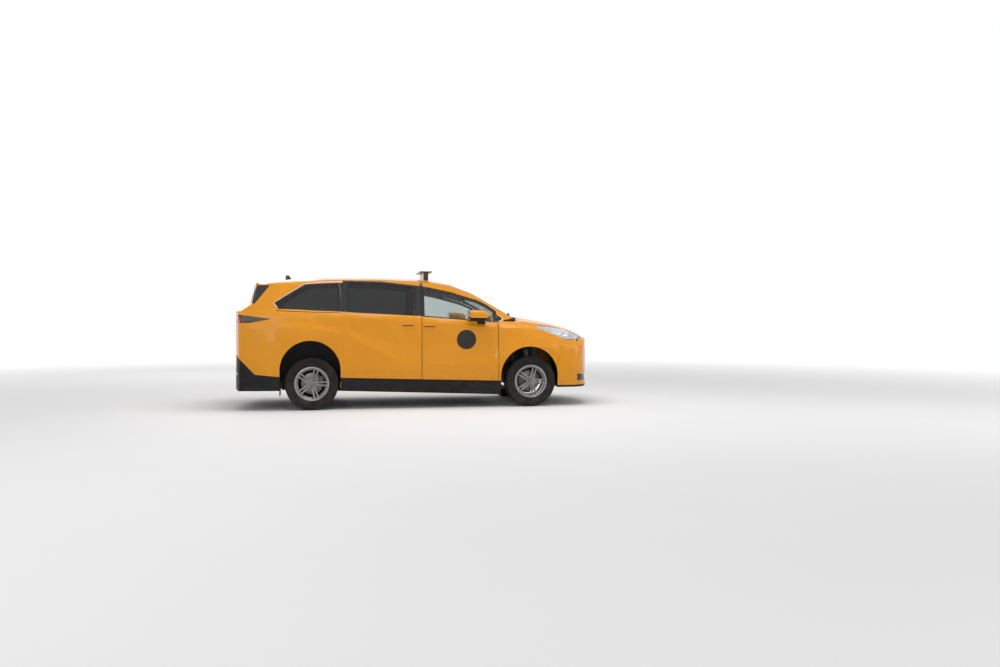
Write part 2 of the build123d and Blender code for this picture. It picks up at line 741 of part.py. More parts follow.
# Floor with its step over the rear axle and the bulkhead in front
floor_wall = 30
floor_top_z, rear_floor_top_z, floor_step_x = 290, 500, -1060
dash_top_z = 1130
bulkhead_slope = 95 / 840
well_inner_y = 690
front_well_inner_y = 600
steer_room = 26
with BuildPart() as floor_pan:
    add(cabin_space)
    with BuildSketch(Plane.XZ):
        outline([
            (1215, dash_top_z), (1120, floor_top_z), (floor_step_x, floor_top_z),
            (floor_step_x - 100, rear_floor_top_z), (-2420, rear_floor_top_z),
            (-2420, rear_floor_top_z - floor_wall), (floor_step_x - 86, rear_floor_top_z - floor_wall),
            (floor_step_x + 14, floor_top_z - floor_wall), (1150, floor_top_z - floor_wall), (1247, dash_top_z),
        ])
    extrude(amount=reach, both=True, mode=Mode.INTERSECT)
    for side in (1, -1):
        with BuildSketch(Plane.XZ.offset(side * (front_well_inner_y - seat_gap))):
            arch_outline(front_arch, grow=steer_room)
        extrude(amount=side * reach, mode=Mode.SUBTRACT)
        with BuildSketch(Plane.XZ.offset(side * well_inner_y)):
            arch_outline(rear_arch)
        extrude(amount=side * reach, mode=Mode.SUBTRACT)

# Wheel arch liners. The front ones are wider than the arches, for the turned wheels, and open to the struts
liner_wall, liner_foot_z, liner_back_x = 6, 460, 1160
with BuildPart() as arch_liners:
    for arch, inner_y, room in ((front_arch, front_well_inner_y, steer_room), (rear_arch, well_inner_y, 0)):
        with BuildSketch(Plane.XZ.offset(inner_y)):
            arch_outline(arch, grow=room - seat_gap)
        extrude(amount=reach)
        with BuildSketch(Plane.XZ.offset(inner_y + liner_wall)):
            arch_outline(arch, grow=room - seat_gap - liner_wall)
        extrude(amount=reach, mode=Mode.SUBTRACT)
    with BuildSketch(Plane.XZ.offset(front_well_inner_y)):
        arch_outline(front_arch, grow=steer_room - seat_gap - liner_wall)
        with Locations((liner_back_x, 0)):
            Rectangle(reach, 2 * reach, align=(Align.MAX, Align.CENTER), mode=Mode.SUBTRACT)
    extrude(amount=liner_wall, mode=Mode.SUBTRACT)
    with BuildSketch(Plane.XY):
        Rectangle(2 * reach, 2 * reach)
    extrude(amount=liner_foot_z, mode=Mode.SUBTRACT)
    with Locations((0, seat_gap, 0)):
        add(skin_form, mode=Mode.INTERSECT)
    with BuildSketch(Plane.XY.offset(600)):
        with Locations((front_axle_x, -strut_top_y)):
            Circle(tower_radius + tower_wall + seat_gap)
    extrude(amount=reach, mode=Mode.SUBTRACT)
    mirror(about=Plane.XZ)


# Tyre and rim about the origin, outer side towards -Y. Half section columns: y, radius
bead_y = 95.6
tread_crown_y = 70
tyre_outside = [(bead_y, bead_radius), (bead_y, rim_radius + 0.5), (110, rim_radius + 5), (tyre_width / 2, 290),
                (109, 335), (94, 352), (tread_crown_y, tyre_radius)]
tyre_inside = [(tread_crown_y, tyre_radius - 14), (88, 338), (103, 290), (96, 245), (bead_y - 14, bead_radius)]
with BuildPart() as tyre_form:
    with BuildSketch(Plane.YZ):
        outline(tyre_outside + [(-y, r) for y, r in reversed(tyre_outside)]
                + [(-y, r) for y, r in reversed(tyre_inside)] + tyre_inside)
    revolve(axis=Axis.Y)

seat_radius = bead_radius - seat_gap
well_radius = 192
rim_wall = 8
flange_y = rim_width / 2
flange_wall = flange_y - bead_y - seat_gap
rim_outside = [(flange_y, rim_radius), (flange_y - flange_wall, rim_radius), (flange_y - flange_wall, seat_radius), (60, seat_radius),
               (50, well_radius)]
rim_inside = [(50, well_radius - rim_wall), (64, seat_radius - rim_wall), (flange_y, seat_radius - rim_wall)]
hub_inner_y, hub_outer_y = 60, -84
disc_inner_y = 54
spindle_end_y = -10
spoke_face_y, spoke_depth = -92, 30
spoke_root, spoke_tip, spoke_spread = 26, 19, 11
with BuildPart() as rim_form:
    with BuildSketch(Plane.YZ):
        outline(rim_outside + [(-y, r) for y, r in reversed(rim_outside)]
                + [(-y, r) for y, r in reversed(rim_inside)] + rim_inside)
    revolve(axis=Axis.Y)
    with BuildSketch(Plane.XZ.offset(-hub_inner_y)):
        Circle(hub_radius)
    extrude(amount=hub_inner_y - hub_outer_y)
    with BuildSketch(Plane.XZ.offset(-disc_inner_y)):
        Circle(disc_radius)
    extrude(amount=disc_width)
    with BuildSketch(Plane.XZ.offset(-spoke_face_y - spoke_depth)):
        with PolarLocations(0, spoke_pairs):
            for side in (1, -1):
                outline([(hub_radius - 20, side * 4), (hub_radius - 8, side * (4 + spoke_root)),
                         (seat_radius - 4, side * (spoke_spread + 4 + spoke_tip)), (seat_radius - 4, side * (spoke_spread + 4))])
    extrude(amount=spoke_depth)
    with BuildSketch(Plane.XZ.offset(-hub_inner_y)):
        Circle(spindle_radius + bearing_gap)
    extrude(amount=hub_inner_y - spindle_end_y + 2, mode=Mode.SUBTRACT)

wheels = {}
for axle, axle_x in (("front", front_axle_x), ("rear", rear_axle_x)):
    for kind, form in (("tyre", tyre_form.part), ("rim", rim_form.part)):
        with BuildPart() as right_piece:
            with Locations((axle_x, -wheel_y, wheel_z)):
                add(form)
        with BuildPart() as left_piece:
            mirror(right_piece.part, about=Plane.XZ)
        wheels[f"{kind}_{axle}_right"] = right_piece
        wheels[f"{kind}_{axle}_left"] = left_piece

# Front knuckles: upright, bearing, spindle, caliper and strut along the leaning steering axis
ball_y, ball_z, ball_radius = 775, 215, 16
steering_axis = Vector(0, strut_top_y - ball_y, strut_top_z - ball_z).normalized()
bearing_inner_y, bearing_outer_y = 735, wheel_y - hub_inner_y - 5
strut_radius, spring_radius = 26, 62
strut_foot_z, spring_foot_z, spring_top_z = 400, 620, 820


def on_steering_axis(z):
    """The point of the right steering axis at height z."""
    y = ball_y + (z - ball_z) * (strut_top_y - ball_y) / (strut_top_z - ball_z)
    return Vector(front_axle_x, -y, z)


right_axis = Vector(0, -steering_axis.Y, steering_axis.Z)
with BuildPart() as knuckle_right:
    with BuildSketch(Plane.YZ.offset(front_axle_x - 40)):
        outline([(-ball_y + 18, ball_z + 22), (-ball_y - 16, ball_z + 22), (-792, wheel_z - 30),
                 (-792, wheel_z + 45), (-750, 470), (-690, 490), (-690, 400), (-740, wheel_z - 50)])
    extrude(amount=80)
    with Locations(on_steering_axis(ball_z + ball_radius)):
        Sphere(ball_radius)
    with BuildSketch(Plane.XZ.offset(bearing_inner_y)):
        with Locations((front_axle_x, wheel_z)):
            Circle(56)
    extrude(amount=bearing_outer_y - bearing_inner_y)
    with BuildSketch(Plane.XZ.offset(bearing_inner_y)):
        with Locations((front_axle_x, wheel_z)):
            Circle(spindle_radius)
    extrude(amount=wheel_y - spindle_end_y - bearing_inner_y)
    strut_foot = on_steering_axis(strut_foot_z)
    strut_top = on_steering_axis(strut_top_z)
    with BuildSketch(Plane(origin=strut_foot, z_dir=right_axis)):
        Circle(strut_radius)
    extrude(amount=(strut_top - strut_foot).length)
    spring_foot = on_steering_axis(spring_foot_z)
    with BuildSketch(Plane(origin=spring_foot, z_dir=right_axis)):
        Circle(spring_radius)
    extrude(amount=(on_steering_axis(spring_top_z) - spring_foot).length)

with BuildPart() as knuckle_left:
    mirror(knuckle_right.part, about=Plane.XZ)

# Front frame: rails, towers over the struts and the beam behind the bumper
rail_y, rail_width, rail_low_z, rail_high_z = 490, 60, 480, 590
rail_front_x, beam_depth = 2390, 50
tower_low_z = 810
with BuildPart() as front_frame:
    for side in (1, -1):
        with BuildSketch(Plane.XZ.offset(side * rail_y - rail_width / 2)):
            outline([(1180, rail_low_z), (rail_front_x, rail_low_z), (rail_front_x, rail_high_z), (1190, rail_high_z)])
        extrude(amount=rail_width)
        tower_top = strut_top_z + seat_gap
        with BuildSketch(Plane.XY.offset(tower_low_z)):
            with Locations((front_axle_x, side * strut_top_y)):
                Circle(tower_radius + tower_wall)
        extrude(amount=tower_top + 20 - tower_low_z)
        with BuildSketch(Plane.XZ.offset(side * rail_y - rail_width / 2)):
            outline([(front_axle_x - 130, rail_high_z), (front_axle_x + 130, rail_high_z),
                     (front_axle_x + 90, tower_top), (front_axle_x - 90, tower_top)])
        extrude(amount=rail_width)
        with BuildSketch(Plane.XY.offset(tower_low_z)):
            with Locations((front_axle_x, side * strut_top_y)):
                Circle(tower_radius)
        extrude(amount=tower_top + 12 - tower_low_z, mode=Mode.SUBTRACT)
    with BuildSketch(Plane.YZ.offset(rail_front_x)):
        with Locations((0, (rail_low_z + rail_high_z) / 2)):
            Rectangle(2 * rail_y + 2 * rail_width, rail_high_z - rail_low_z)
    extrude(amount=beam_depth)

# Radiator frame on the beam: uprights, tie bar, radiator core and the two buffers under the bonnet
upright_y, upright_width, upright_wall = 430, 40, 34
tie_low_z, tie_height, tie_x = 900, 40, 2395
buffer_x, buffer_y, buffer_radius, buffer_top_z = 2412, 380, 12, 996
radiator_wall = 40
with BuildPart() as radiator_frame:
    with BuildSketch(Plane.XY.offset(rail_high_z + seat_gap)):
        for side in (1, -1):
            with Locations((tie_x, side * upright_y)):
                Rectangle(upright_wall, upright_width, align=(Align.MIN, Align.CENTER))
    extrude(amount=tie_low_z - rail_high_z - seat_gap)
    with BuildSketch(Plane.XY.offset(tie_low_z)):
        with Locations((tie_x, 0)):
            Rectangle(upright_wall, 2 * upright_y + upright_width, align=(Align.MIN, Align.CENTER))
    extrude(amount=tie_height)
    with BuildSketch(Plane.XY.offset(tie_low_z + tie_height)):
        with Locations((buffer_x, buffer_y), (buffer_x, -buffer_y)):
            Circle(buffer_radius)
    extrude(amount=buffer_top_z - tie_low_z - tie_height)
    with BuildSketch(Plane.XY.offset(rail_high_z + seat_gap)):
        with Locations((tie_x - radiator_wall, 0)):
            Rectangle(radiator_wall, 2 * upright_y - 60, align=(Align.MIN, Align.CENTER))
    extrude(amount=tie_low_z + tie_height / 2 - rail_high_z - seat_gap)

# Front subframe with its lower arms
arm_low_z = ball_z - 26
subframe_half_y = 400
with BuildPart() as front_subframe:
    with BuildSketch(Plane.XY.offset(arm_low_z)):
        with Locations((front_axle_x, 0)):
            Rectangle(190, 2 * subframe_half_y)
        for side in (1, -1):
            outline([(front_axle_x - 90, side * (subframe_half_y - 5)), (front_axle_x + 80, side * (subframe_half_y - 5)),
                     (front_axle_x + 28, side * ball_y), (front_axle_x - 28, side * ball_y)])
            with Locations((front_axle_x, side * ball_y)):
                Circle(29)
    extrude(amount=ball_z - seat_gap - arm_low_z)
    with BuildSketch(Plane.XY.offset(arm_low_z)):
        with Locations(*[(front_axle_x, side * (rail_y - 50)) for side in (1, -1)]):
            Rectangle(90, 60)
    extrude(amount=rail_low_z - seat_gap - arm_low_z)

engine_length, engine_width, engine_low_z, engine_high_z = 460, 640, 270, 930
with BuildPart() as engine_block:
    with BuildSketch(Plane.XY.offset(engine_low_z)):
        with Locations((1620, 0)):
            RectangleRounded(engine_length, engine_width, 40)
    extrude(amount=engine_high_z - engine_low_z)
    chamfer(engine_block.edges().group_by(Axis.Z)[-1], 40)
    with BuildSketch(Plane.XY.offset(rail_low_z + 20)):
        with Locations((1620, 0)):
            Rectangle(70, 2 * (rail_y - rail_width / 2 - seat_gap))
    extrude(amount=60)

# Rear axle: trailing arms, twist beam, spring seats and spindles
arm_y, arm_width = 600, 60
floor_under_z = rear_floor_top_z - floor_wall
with BuildPart() as rear_axle:
    for side in (1, -1):
        with BuildSketch(Plane.XZ.offset(side * arm_y - arm_width / 2)):
            outline([(-1170, floor_under_z - seat_gap), (-1240, floor_under_z - seat_gap), (-1270, 420),
                     (rear_axle_x - 50, 410), (rear_axle_x - 50, 320), (rear_axle_x + 60, 320), (-1180, 400)])
        extrude(amount=arm_width)
        with BuildSketch(Plane.XZ.offset(side * arm_y - arm_width / 2)):
            with Locations((rear_axle_x, wheel_z)):
                Circle(52)
        if side > 0:
            extrude(amount=bearing_outer_y - arm_y + arm_width / 2)
        else:
            extrude(amount=-(bearing_outer_y - arm_y - arm_width / 2))
        with BuildSketch(Plane.XZ.offset(side * arm_y)):
            with Locations((rear_axle_x, wheel_z)):
                Circle(spindle_radius)
        extrude(amount=side * (wheel_y - spindle_end_y - arm_y))
        with BuildSketch(Plane.XY.offset(400)):
            with Locations((rear_axle_x + 90, side * (arm_y - 10))):
                Circle(50)
        extrude(amount=floor_under_z - seat_gap - 400)
    with BuildSketch(Plane.XZ.offset(-arm_y)):
        with Locations((-1290, 395)):
            RectangleRounded(110, 50, 15)
    extrude(amount=2 * arm_y)

# Exhaust: pipe under the floor, over the axle and into the rear silencer
pipe_radius = 26
pipe_y = -200
with BuildPart() as exhaust:
    with BuildLine() as pipe_path:
        FilletPolyline((1380, pipe_y, 228), (-1130, pipe_y, 228), (-1330, pipe_y, 300), (-1900, pipe_y, 300), radius=120)
    with BuildSketch(Plane(origin=(1380, pipe_y, 228), z_dir=(-1, 0, 0))):
        Circle(pipe_radius)
    sweep()
    with BuildSketch(Plane.YZ.offset(-2330)):
        with Locations((pipe_y, 330)):
            RectangleRounded(380, 150, 60)
    extrude(amount=450)
    with BuildSketch(Plane.YZ.offset(-2460)):
        with Locations((pipe_y - 120, 320)):
            Circle(pipe_radius)
    extrude(amount=200)
    hanger_top = floor_top_z - floor_wall - seat_gap
    with BuildSketch(Plane.XY.offset(228)):
        with Locations((900, pipe_y), (100, pipe_y), (-700, pipe_y)):
            Rectangle(24, 16)
    extrude(amount=hanger_top - 228)
    with BuildSketch(Plane.XY.offset(380)):
        with Locations((-2000, pipe_y), (-2260, pipe_y)):
            Rectangle(24, 16)
    extrude(amount=floor_under_z - seat_gap - 380)

# Dashboard across the cabin, with the steering column shroud
column_x, column_y, column_z, column_tilt = 640, 370, 1005, 25
column_direction = Vector(-cos(radians(column_tilt)), 0, sin(radians(column_tilt)))
with BuildPart() as dashboard:
    add(cabin_space)
    with BuildSketch(Plane.XZ):
        outline([(1205, dash_top_z - 10), (1000, 1155), (850, 1118), (800, 1030), (820, 930), (890, 760), (1000, 700),
                 (1158, 700)])
    extrude(amount=reach, both=True, mode=Mode.INTERSECT)
    with BuildSketch(Plane(origin=Vector(column_x, column_y, column_z) - column_direction * 40, z_dir=column_direction * -1)):
        Circle(42)
    extrude(amount=260)

with BuildPart() as steering_wheel:
    with BuildSketch(Plane(origin=(column_x, column_y, column_z), x_dir=(0, 1, 0), z_dir=column_direction)):
        Circle(52)
        Rectangle(350, 34)
        with Locations((0, -95)):
            Rectangle(40, 170)
    extrude(amount=18)
    with BuildSketch(Plane(origin=(column_x, column_y, column_z), x_dir=(0, 1, 0), z_dir=column_direction)):
        Circle(185)
        Circle(157, mode=Mode.SUBTRACT)
    extrude(amount=28)
    with BuildSketch(Plane(origin=(column_x, column_y, column_z), z_dir=column_direction * -1)):
        Circle(38)
    extrude(amount=40 - seat_gap)


def seat(width, cushion_z, cushion_top, back_height):
    """A cushion, a leaning backrest and a headrest, soft solids with small gaps, front edge at x = 520."""
    lean = 15
    back_wall = 120
    back_x = -back_wall / 2 * cos(radians(lean)) - seat_gap
    with BuildPart() as form:
        with BuildSketch(Plane.XY.offset(cushion_z)):
            with Locations((260, 0)):
                RectangleRounded(520, width, 70)
        extrude(amount=cushion_top - cushion_z)
        fillet(form.edges().group_by(Axis.Z)[-1], 40)
    back_up = (-sin(radians(lean)), 0, cos(radians(lean)))
    back_plane = Plane(origin=(back_x, 0, cushion_z + 60), x_dir=(0, 1, 0), z_dir=back_up)
    with BuildPart() as back:
        with BuildSketch(back_plane):
            RectangleRounded(width, back_wall, 50)
        extrude(amount=back_height)
        fillet(back.edges().group_by(Axis.Z)[-1], 30)
    with BuildPart() as headrest:
        with BuildSketch(back_plane.offset(back_height + seat_gap)):
            RectangleRounded(260, 90, 40)
        extrude(amount=170)
        fillet(headrest.edges().group_by(Axis.Z)[-1], 30)
    return [form.part, back.part, headrest.part]


front_seat_form = seat(500, 500, 630, 640)
bench_seat_form = seat(400, 700, 810, 560)
front_seat_x, middle_seat_x, bench_x = 30, -900, -1740
front_seat_y, bench_pitch = 370, 405
with BuildPart() as front_seats:
    with Locations((front_seat_x, front_seat_y), (front_seat_x, -front_seat_y)):
        add(front_seat_form)

with BuildPart() as middle_seats:
    with Locations((middle_seat_x, front_seat_y), (middle_seat_x, -front_seat_y)):
        add(front_seat_form)

with BuildPart() as rear_bench:
    with Locations((bench_x, -bench_pitch), (bench_x, 0), (bench_x, bench_pitch)):
        add(bench_seat_form)

with BuildPart() as seat_bases:
    with BuildSketch(Plane.XY.offset(floor_top_z)):
        with Locations(*[(x + 250, y) for x in (front_seat_x, middle_seat_x) for y in (front_seat_y, -front_seat_y)]):
            RectangleRounded(420, 400, 40)
    extrude(amount=500 - seat_gap - floor_top_z)
    with BuildSketch(Plane.XY.offset(rear_floor_top_z)):
        with Locations((bench_x + 250, 0)):
            RectangleRounded(440, 1100, 40)
    extrude(amount=700 - seat_gap - rear_floor_top_z)

# Roof sign: a narrow foot and a wide thin cap
sign_x, sign_half_y = 130, 300
with BuildPart() as roof_sign:
    with BuildSketch(Plane.XY.offset(1800)):
        with Locations((sign_x, 0)):
            RectangleRounded(70, 2 * sign_half_y, 20)
    extrude(amount=140)
    with BuildSketch(Plane.XY.offset(1940)):
        with Locations((sign_x, 0)):
            RectangleRounded(180, 2 * sign_half_y + 20, 20)
    extrude(amount=14)
    add(outer_form, mode=Mode.SUBTRACT)

with BuildPart() as roof_fin:
    with BuildSketch(Plane.XY.offset(1780)):
        with Locations((-1838, 0)):
            Ellipse(70, 18)
    with BuildSketch(Plane.XY.offset(1890)):
        with Locations((-1870, 0)):
            Ellipse(20, 5)
    loft()
    add(outer_form, mode=Mode.SUBTRACT)

pieces = {
    "front_door_right": front_door_right, "front_door_left": front_door_left,
    "front_door_glass_right": front_door_glass_right, "front_door_glass_left": front_door_glass_left,
    "mirror_right": mirror_right, "mirror_left": mirror_left,
    "sliding_door_right": sliding_door_right, "sliding_door_left": sliding_door_left,
    "sliding_door_glass": sliding_door_glass, "body_side_right": body_side_right, "body_side_left": body_side_left,
    "quarter_glass": quarter_glass, "roof_panel": roof_panel, "windscreen": windscreen, "fenders": fenders,
    "bonnet": bonnet, "cowl_panel": cowl_panel, "headlamp_housings": headlamp_housings,
    "headlamp_lenses": headlamp_lenses, "front_bumper": front_bumper, "grilles": grilles, "front_lip": front_lip,
    "rear_bumper": rear_bumper, "tailgate": tailgate, "tailgate_lamps": tailgate_lamps,
    "tailgate_glass": tailgate_glass, "tail_lamps": tail_lamps, "side_skirts": side_skirts, "floor_pan": floor_pan,
    "arch_liners": arch_liners, "knuckle_right": knuckle_right, "knuckle_left": knuckle_left,
    "front_frame": front_frame, "front_subframe": front_subframe, "engine_block": engine_block,
    "rear_axle": rear_axle, "exhaust": exhaust, "dashboard": dashboard, "steering_wheel": steering_wheel,
    "front_seats": front_seats, "middle_seats": middle_seats, "rear_bench": rear_bench, "seat_bases": seat_bases,
    "roof_sign": roof_sign, "roof_fin": roof_fin, "door_seals": door_seals, "radiator_frame": radiator_frame,
} | wheels

for name, piece in pieces.items():
    piece.part.label = name
    export_step(piece.part, f"parts/{name}.step")
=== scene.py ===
import json
from math import cos, exp, pi, radians, sin

import bpy
from mathutils import Matrix, Vector
from mathutils.bvhtree import BVHTree

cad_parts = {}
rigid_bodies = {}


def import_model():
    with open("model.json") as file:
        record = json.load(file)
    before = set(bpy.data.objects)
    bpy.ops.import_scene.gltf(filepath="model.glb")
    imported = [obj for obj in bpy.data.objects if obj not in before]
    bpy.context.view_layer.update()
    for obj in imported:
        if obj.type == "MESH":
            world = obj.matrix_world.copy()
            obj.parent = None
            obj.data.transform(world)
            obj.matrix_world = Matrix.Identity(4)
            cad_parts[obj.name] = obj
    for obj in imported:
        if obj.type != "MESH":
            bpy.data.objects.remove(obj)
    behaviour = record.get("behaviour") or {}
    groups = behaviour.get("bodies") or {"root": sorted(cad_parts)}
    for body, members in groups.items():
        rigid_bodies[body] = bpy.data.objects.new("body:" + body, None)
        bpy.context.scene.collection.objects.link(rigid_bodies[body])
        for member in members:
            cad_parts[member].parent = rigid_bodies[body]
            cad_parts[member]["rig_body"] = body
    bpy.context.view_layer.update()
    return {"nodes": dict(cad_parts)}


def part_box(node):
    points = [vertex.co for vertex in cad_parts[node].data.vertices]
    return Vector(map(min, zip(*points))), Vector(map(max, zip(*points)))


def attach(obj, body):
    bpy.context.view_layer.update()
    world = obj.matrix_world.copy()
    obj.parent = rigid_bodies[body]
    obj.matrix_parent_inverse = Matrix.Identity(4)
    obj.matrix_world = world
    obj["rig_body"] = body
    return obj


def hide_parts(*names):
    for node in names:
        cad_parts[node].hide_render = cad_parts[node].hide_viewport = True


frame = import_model()

# Frame: metres, +X forward, +Y left, +Z up, the ground at z = 0.

# Camera
camera_place = (-1.191, -12.805, 1.164)
camera_yaw = 11.0
camera_pitch = -0.574
camera_lens = 30.6
camera_sensor = 36.0

# Wheels, from the frame
wheel_centre = {}
for side in ("right", "left"):
    for axle in ("front", "rear"):
        low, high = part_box(f"tyre_{axle}_{side}")
        wheel_centre[axle, side] = (low + high) / 2
tyre_low, tyre_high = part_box("tyre_front_right")
tyre_radius = (tyre_high.z - tyre_low.z) / 2
tyre_width = tyre_high.y - tyre_low.y


# Selection and finishing

def deselect():
    """Nothing is selected or active afterwards."""
    bpy.ops.object.select_all(action="DESELECT")
    bpy.context.view_layer.objects.active = None


def pick(obj):
    """Only this object is selected and active."""
    deselect()
    obj.select_set(True)
    bpy.context.view_layer.objects.active = obj


def linked(name, data):
    """A new object in the scene with this mesh or curve."""
    obj = bpy.data.objects.new(name, data)
    bpy.context.scene.collection.objects.link(obj)
    return obj


def settle(obj):
    """The object's place goes into its mesh, so that it sits unturned at the origin."""
    pick(obj)
    bpy.ops.object.transform_apply(location=True, rotation=True, scale=True)


def edit_all(obj):
    """The object's mesh is open for editing, with all of it selected."""
    pick(obj)
    bpy.ops.object.mode_set(mode="EDIT")
    bpy.ops.mesh.select_all(action="SELECT")


def end_edit():
    """The mesh being edited is closed."""
    bpy.ops.object.mode_set(mode="OBJECT")


def apply_modifiers(obj):
    """Every modifier of the object goes into its mesh."""
    pick(obj)
    for modifier in list(obj.modifiers):
        bpy.ops.object.modifier_apply(modifier=modifier.name)


def smooth(obj, angle=None):
    """The object is shaded smooth, but for edges sharper than the angle in degrees, where one is given."""
    pick(obj)
    if angle:
        bpy.ops.object.shade_smooth_by_angle(angle=radians(angle))
    else:
        bpy.ops.object.shade_smooth()


def bevelled(obj, width, segments, limit="ANGLE", angle=30, hardened=False):
    """Edges get a small round: those sharper than the angle in degrees, or all where the limit is NONE."""
    bevel = obj.modifiers.new("round", "BEVEL")
    bevel.width = width
    bevel.segments = segments
    bevel.limit_method = limit
    bevel.angle_limit = radians(angle)
    bevel.harden_normals = hardened
    apply_modifiers(obj)


def evenly_meshed(obj, cell):
    """The object gets a new, even mesh with cells of this size."""
    even = obj.modifiers.new("even", "REMESH")
    even.mode = "VOXEL"
    even.voxel_size = cell
    apply_modifiers(obj)


def finished(obj, body, material):
    """The piece gets its material and rides on its body."""
    settle(obj)
    obj.data.materials.clear()
    obj.data.materials.append(material)
    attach(obj, body)
    return obj


def body_of(node):
    """The body that a rigid piece rides on."""
    return frame["nodes"][node]["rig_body"]


def welded(node, name):
    """A copy of a rigid piece whose loose triangles are joined at their corners."""
    obj = linked(name, frame["nodes"][node].data.copy())
    edit_all(obj)
    bpy.ops.mesh.remove_doubles(threshold=0.00001)
    end_edit()
    return obj


def panel(node, material, width=0.002, angle=32):
    """A welded copy of a rigid piece, with softened edges, that stands for it."""
    obj = welded(node, node + "_skin")
    smooth(obj, angle)
    bevelled(obj, width, 2, angle=angle, hardened=True)
    finished(obj, body_of(node), material)
    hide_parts(node)


def rounded(node, material):
    """An evenly meshed copy of a rigid piece with its edges smoothed away, that stands for it."""
    obj = welded(node, node + "_skin")
    evenly_meshed(obj, 0.005)
    relaxed = obj.modifiers.new("relaxed", "SMOOTH")
    relaxed.factor = 0.5
    relaxed.iterations = 14
    apply_modifiers(obj)
    smooth(obj)
    finished(obj, body_of(node), material)
    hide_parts(node)


# Materials

def plain_material(name):
    """A new material, with its node tree, its shader and the place on the object in metres."""
    material = bpy.data.materials.new(name)
    material.use_nodes = True
    tree = material.node_tree
    place = tree.nodes.new("ShaderNodeTexCoord").outputs["Object"]
    return material, tree, tree.nodes["Principled BSDF"], place


def fed(tree, kind, inputs):
    """A new node whose inputs are linked to the sockets given for them, or set to the values."""
    node = tree.nodes.new("ShaderNode" + kind)
    for key, value in inputs.items():
        if isinstance(value, bpy.types.NodeSocket):
            tree.links.new(value, node.inputs[key])
        else:
            node.inputs[key].default_value = value
    return node


def noise(tree, place, scale, detail=4.0, roughness=0.55):
    """Cloudy noise, its lumps about 1 / scale metres across."""
    inputs = {"Vector": place, "Scale": scale, "Detail": detail, "Roughness": roughness}
    return fed(tree, "TexNoise", inputs).outputs["Fac"]


def cells(tree, place, scale):
    """Small cells about 1 / scale metres across, with raised borders."""
    return fed(tree, "TexVoronoi", {"Vector": place, "Scale": scale}).outputs["Distance"]


def spread(tree, value, low, high, from_low=0.3, from_high=0.7):
    """The value between from_low and from_high, spread to low and high."""
    inputs = {"Value": value, "From Min": from_low, "From Max": from_high, "To Min": low, "To Max": high}
    return fed(tree, "MapRange", inputs).outputs["Result"]


def clouds(tree, place, scale, detail=4.0):
    """Noise spread over the whole range from 0 to 1."""
    return spread(tree, noise(tree, place, scale, detail), 0.0, 1.0)


def mixed(tree, share, first, second):
    """Colour from first to second by share. A colour is a tuple or a socket."""
    node = tree.nodes.new("ShaderNodeMix")
    node.data_type = "RGBA"
    tree.links.new(share, node.inputs["Factor"])
    for socket, colour in ((node.inputs[6], first), (node.inputs[7], second)):
        if isinstance(colour, tuple):
            socket.default_value = (*colour, 1.0)
        else:
            tree.links.new(colour, socket)
    return node.outputs[2]


def combined(tree, operation, first, second):
    """Two values combined by the operation."""
    node = fed(tree, "Math", {0: first, 1: second})
    node.operation = operation
    return node.outputs[0]


def low_down(tree, place, low, high):
    """1 at the height low and under it, 0 at high and over it."""
    return spread(tree, fed(tree, "SeparateXYZ", {0: place}).outputs["Z"], 1.0, 0.0, low, high)


def roughened(tree, shader, place, scale, roughness):
    """Roughness that varies with noise between the two values."""
    tree.links.new(spread(tree, noise(tree, place, scale), *roughness), shader.inputs["Roughness"])


def bump(tree, shader, value, strength, distance):
    """Fine relief from the value."""
    node = fed(tree, "Bump", {"Height": value, "Strength": strength, "Distance": distance})
    tree.links.new(node.outputs["Normal"], shader.inputs["Normal"])


def clouded(name, colour, shade, scale):
    """A plain material whose colour drifts between colour and shade."""
    material, tree, shader, place = plain_material(name)
    tree.links.new(mixed(tree, clouds(tree, place, scale, 6.0), colour, shade), shader.inputs["Base Color"])
    return material, tree, shader, place


def painted(name, colour, shade):
    """Clear-coated paint: faint cloudiness, orange peel and road dirt on its lowest part."""
    material, tree, shader, place = plain_material(name)
    dirt_here = spread(tree, noise(tree, place, 9.0, 6.0), 0.02, 0.30)
    dirt = combined(tree, "MULTIPLY", low_down(tree, place, 0.18, 0.62), dirt_here)
    paint = mixed(tree, clouds(tree, place, 1.7), colour, shade)
    tree.links.new(mixed(tree, dirt, paint, (0.16, 0.12, 0.08)), shader.inputs["Base Color"])
    speck = spread(tree, noise(tree, place, 55.0, 6.0, 0.7), 0.0, 1.0, 0.42, 0.72)
    tree.links.new(spread(tree, speck, 0.26, 0.36, 0.0, 1.0), shader.inputs["Roughness"])
    shader.inputs["Coat Weight"].default_value = 0.45
    shader.inputs["Coat Roughness"].default_value = 0.05
    shader.inputs["Specular IOR Level"].default_value = 0.14
    bump(tree, shader, noise(tree, place, 420.0, 2.0), 0.012, 0.0002)
    return material


def moulded(name, colour, shade, roughness=(0.42, 0.62), grain=900.0, relief=0.25, dust=0.14, specular=0.28):
    """Moulded plastic or rubber: fine grain, cloudy wear and grey dust low down."""
    material, tree, shader, place = plain_material(name)
    dust_here = spread(tree, noise(tree, place, 14.0, 6.0), 0.0, dust)
    dusty = combined(tree, "MULTIPLY", low_down(tree, place, 0.1, 0.7), dust_here)
    base = mixed(tree, clouds(tree, place, 7.0), colour, shade)
    tree.links.new(mixed(tree, dusty, base, (0.17, 0.15, 0.13)), shader.inputs["Base Color"])
    roughened(tree, shader, place, 30.0, roughness)
    shader.inputs["Specular IOR Level"].default_value = specular
    bump(tree, shader, noise(tree, place, grain, 3.0), relief, 0.0006)
    return material


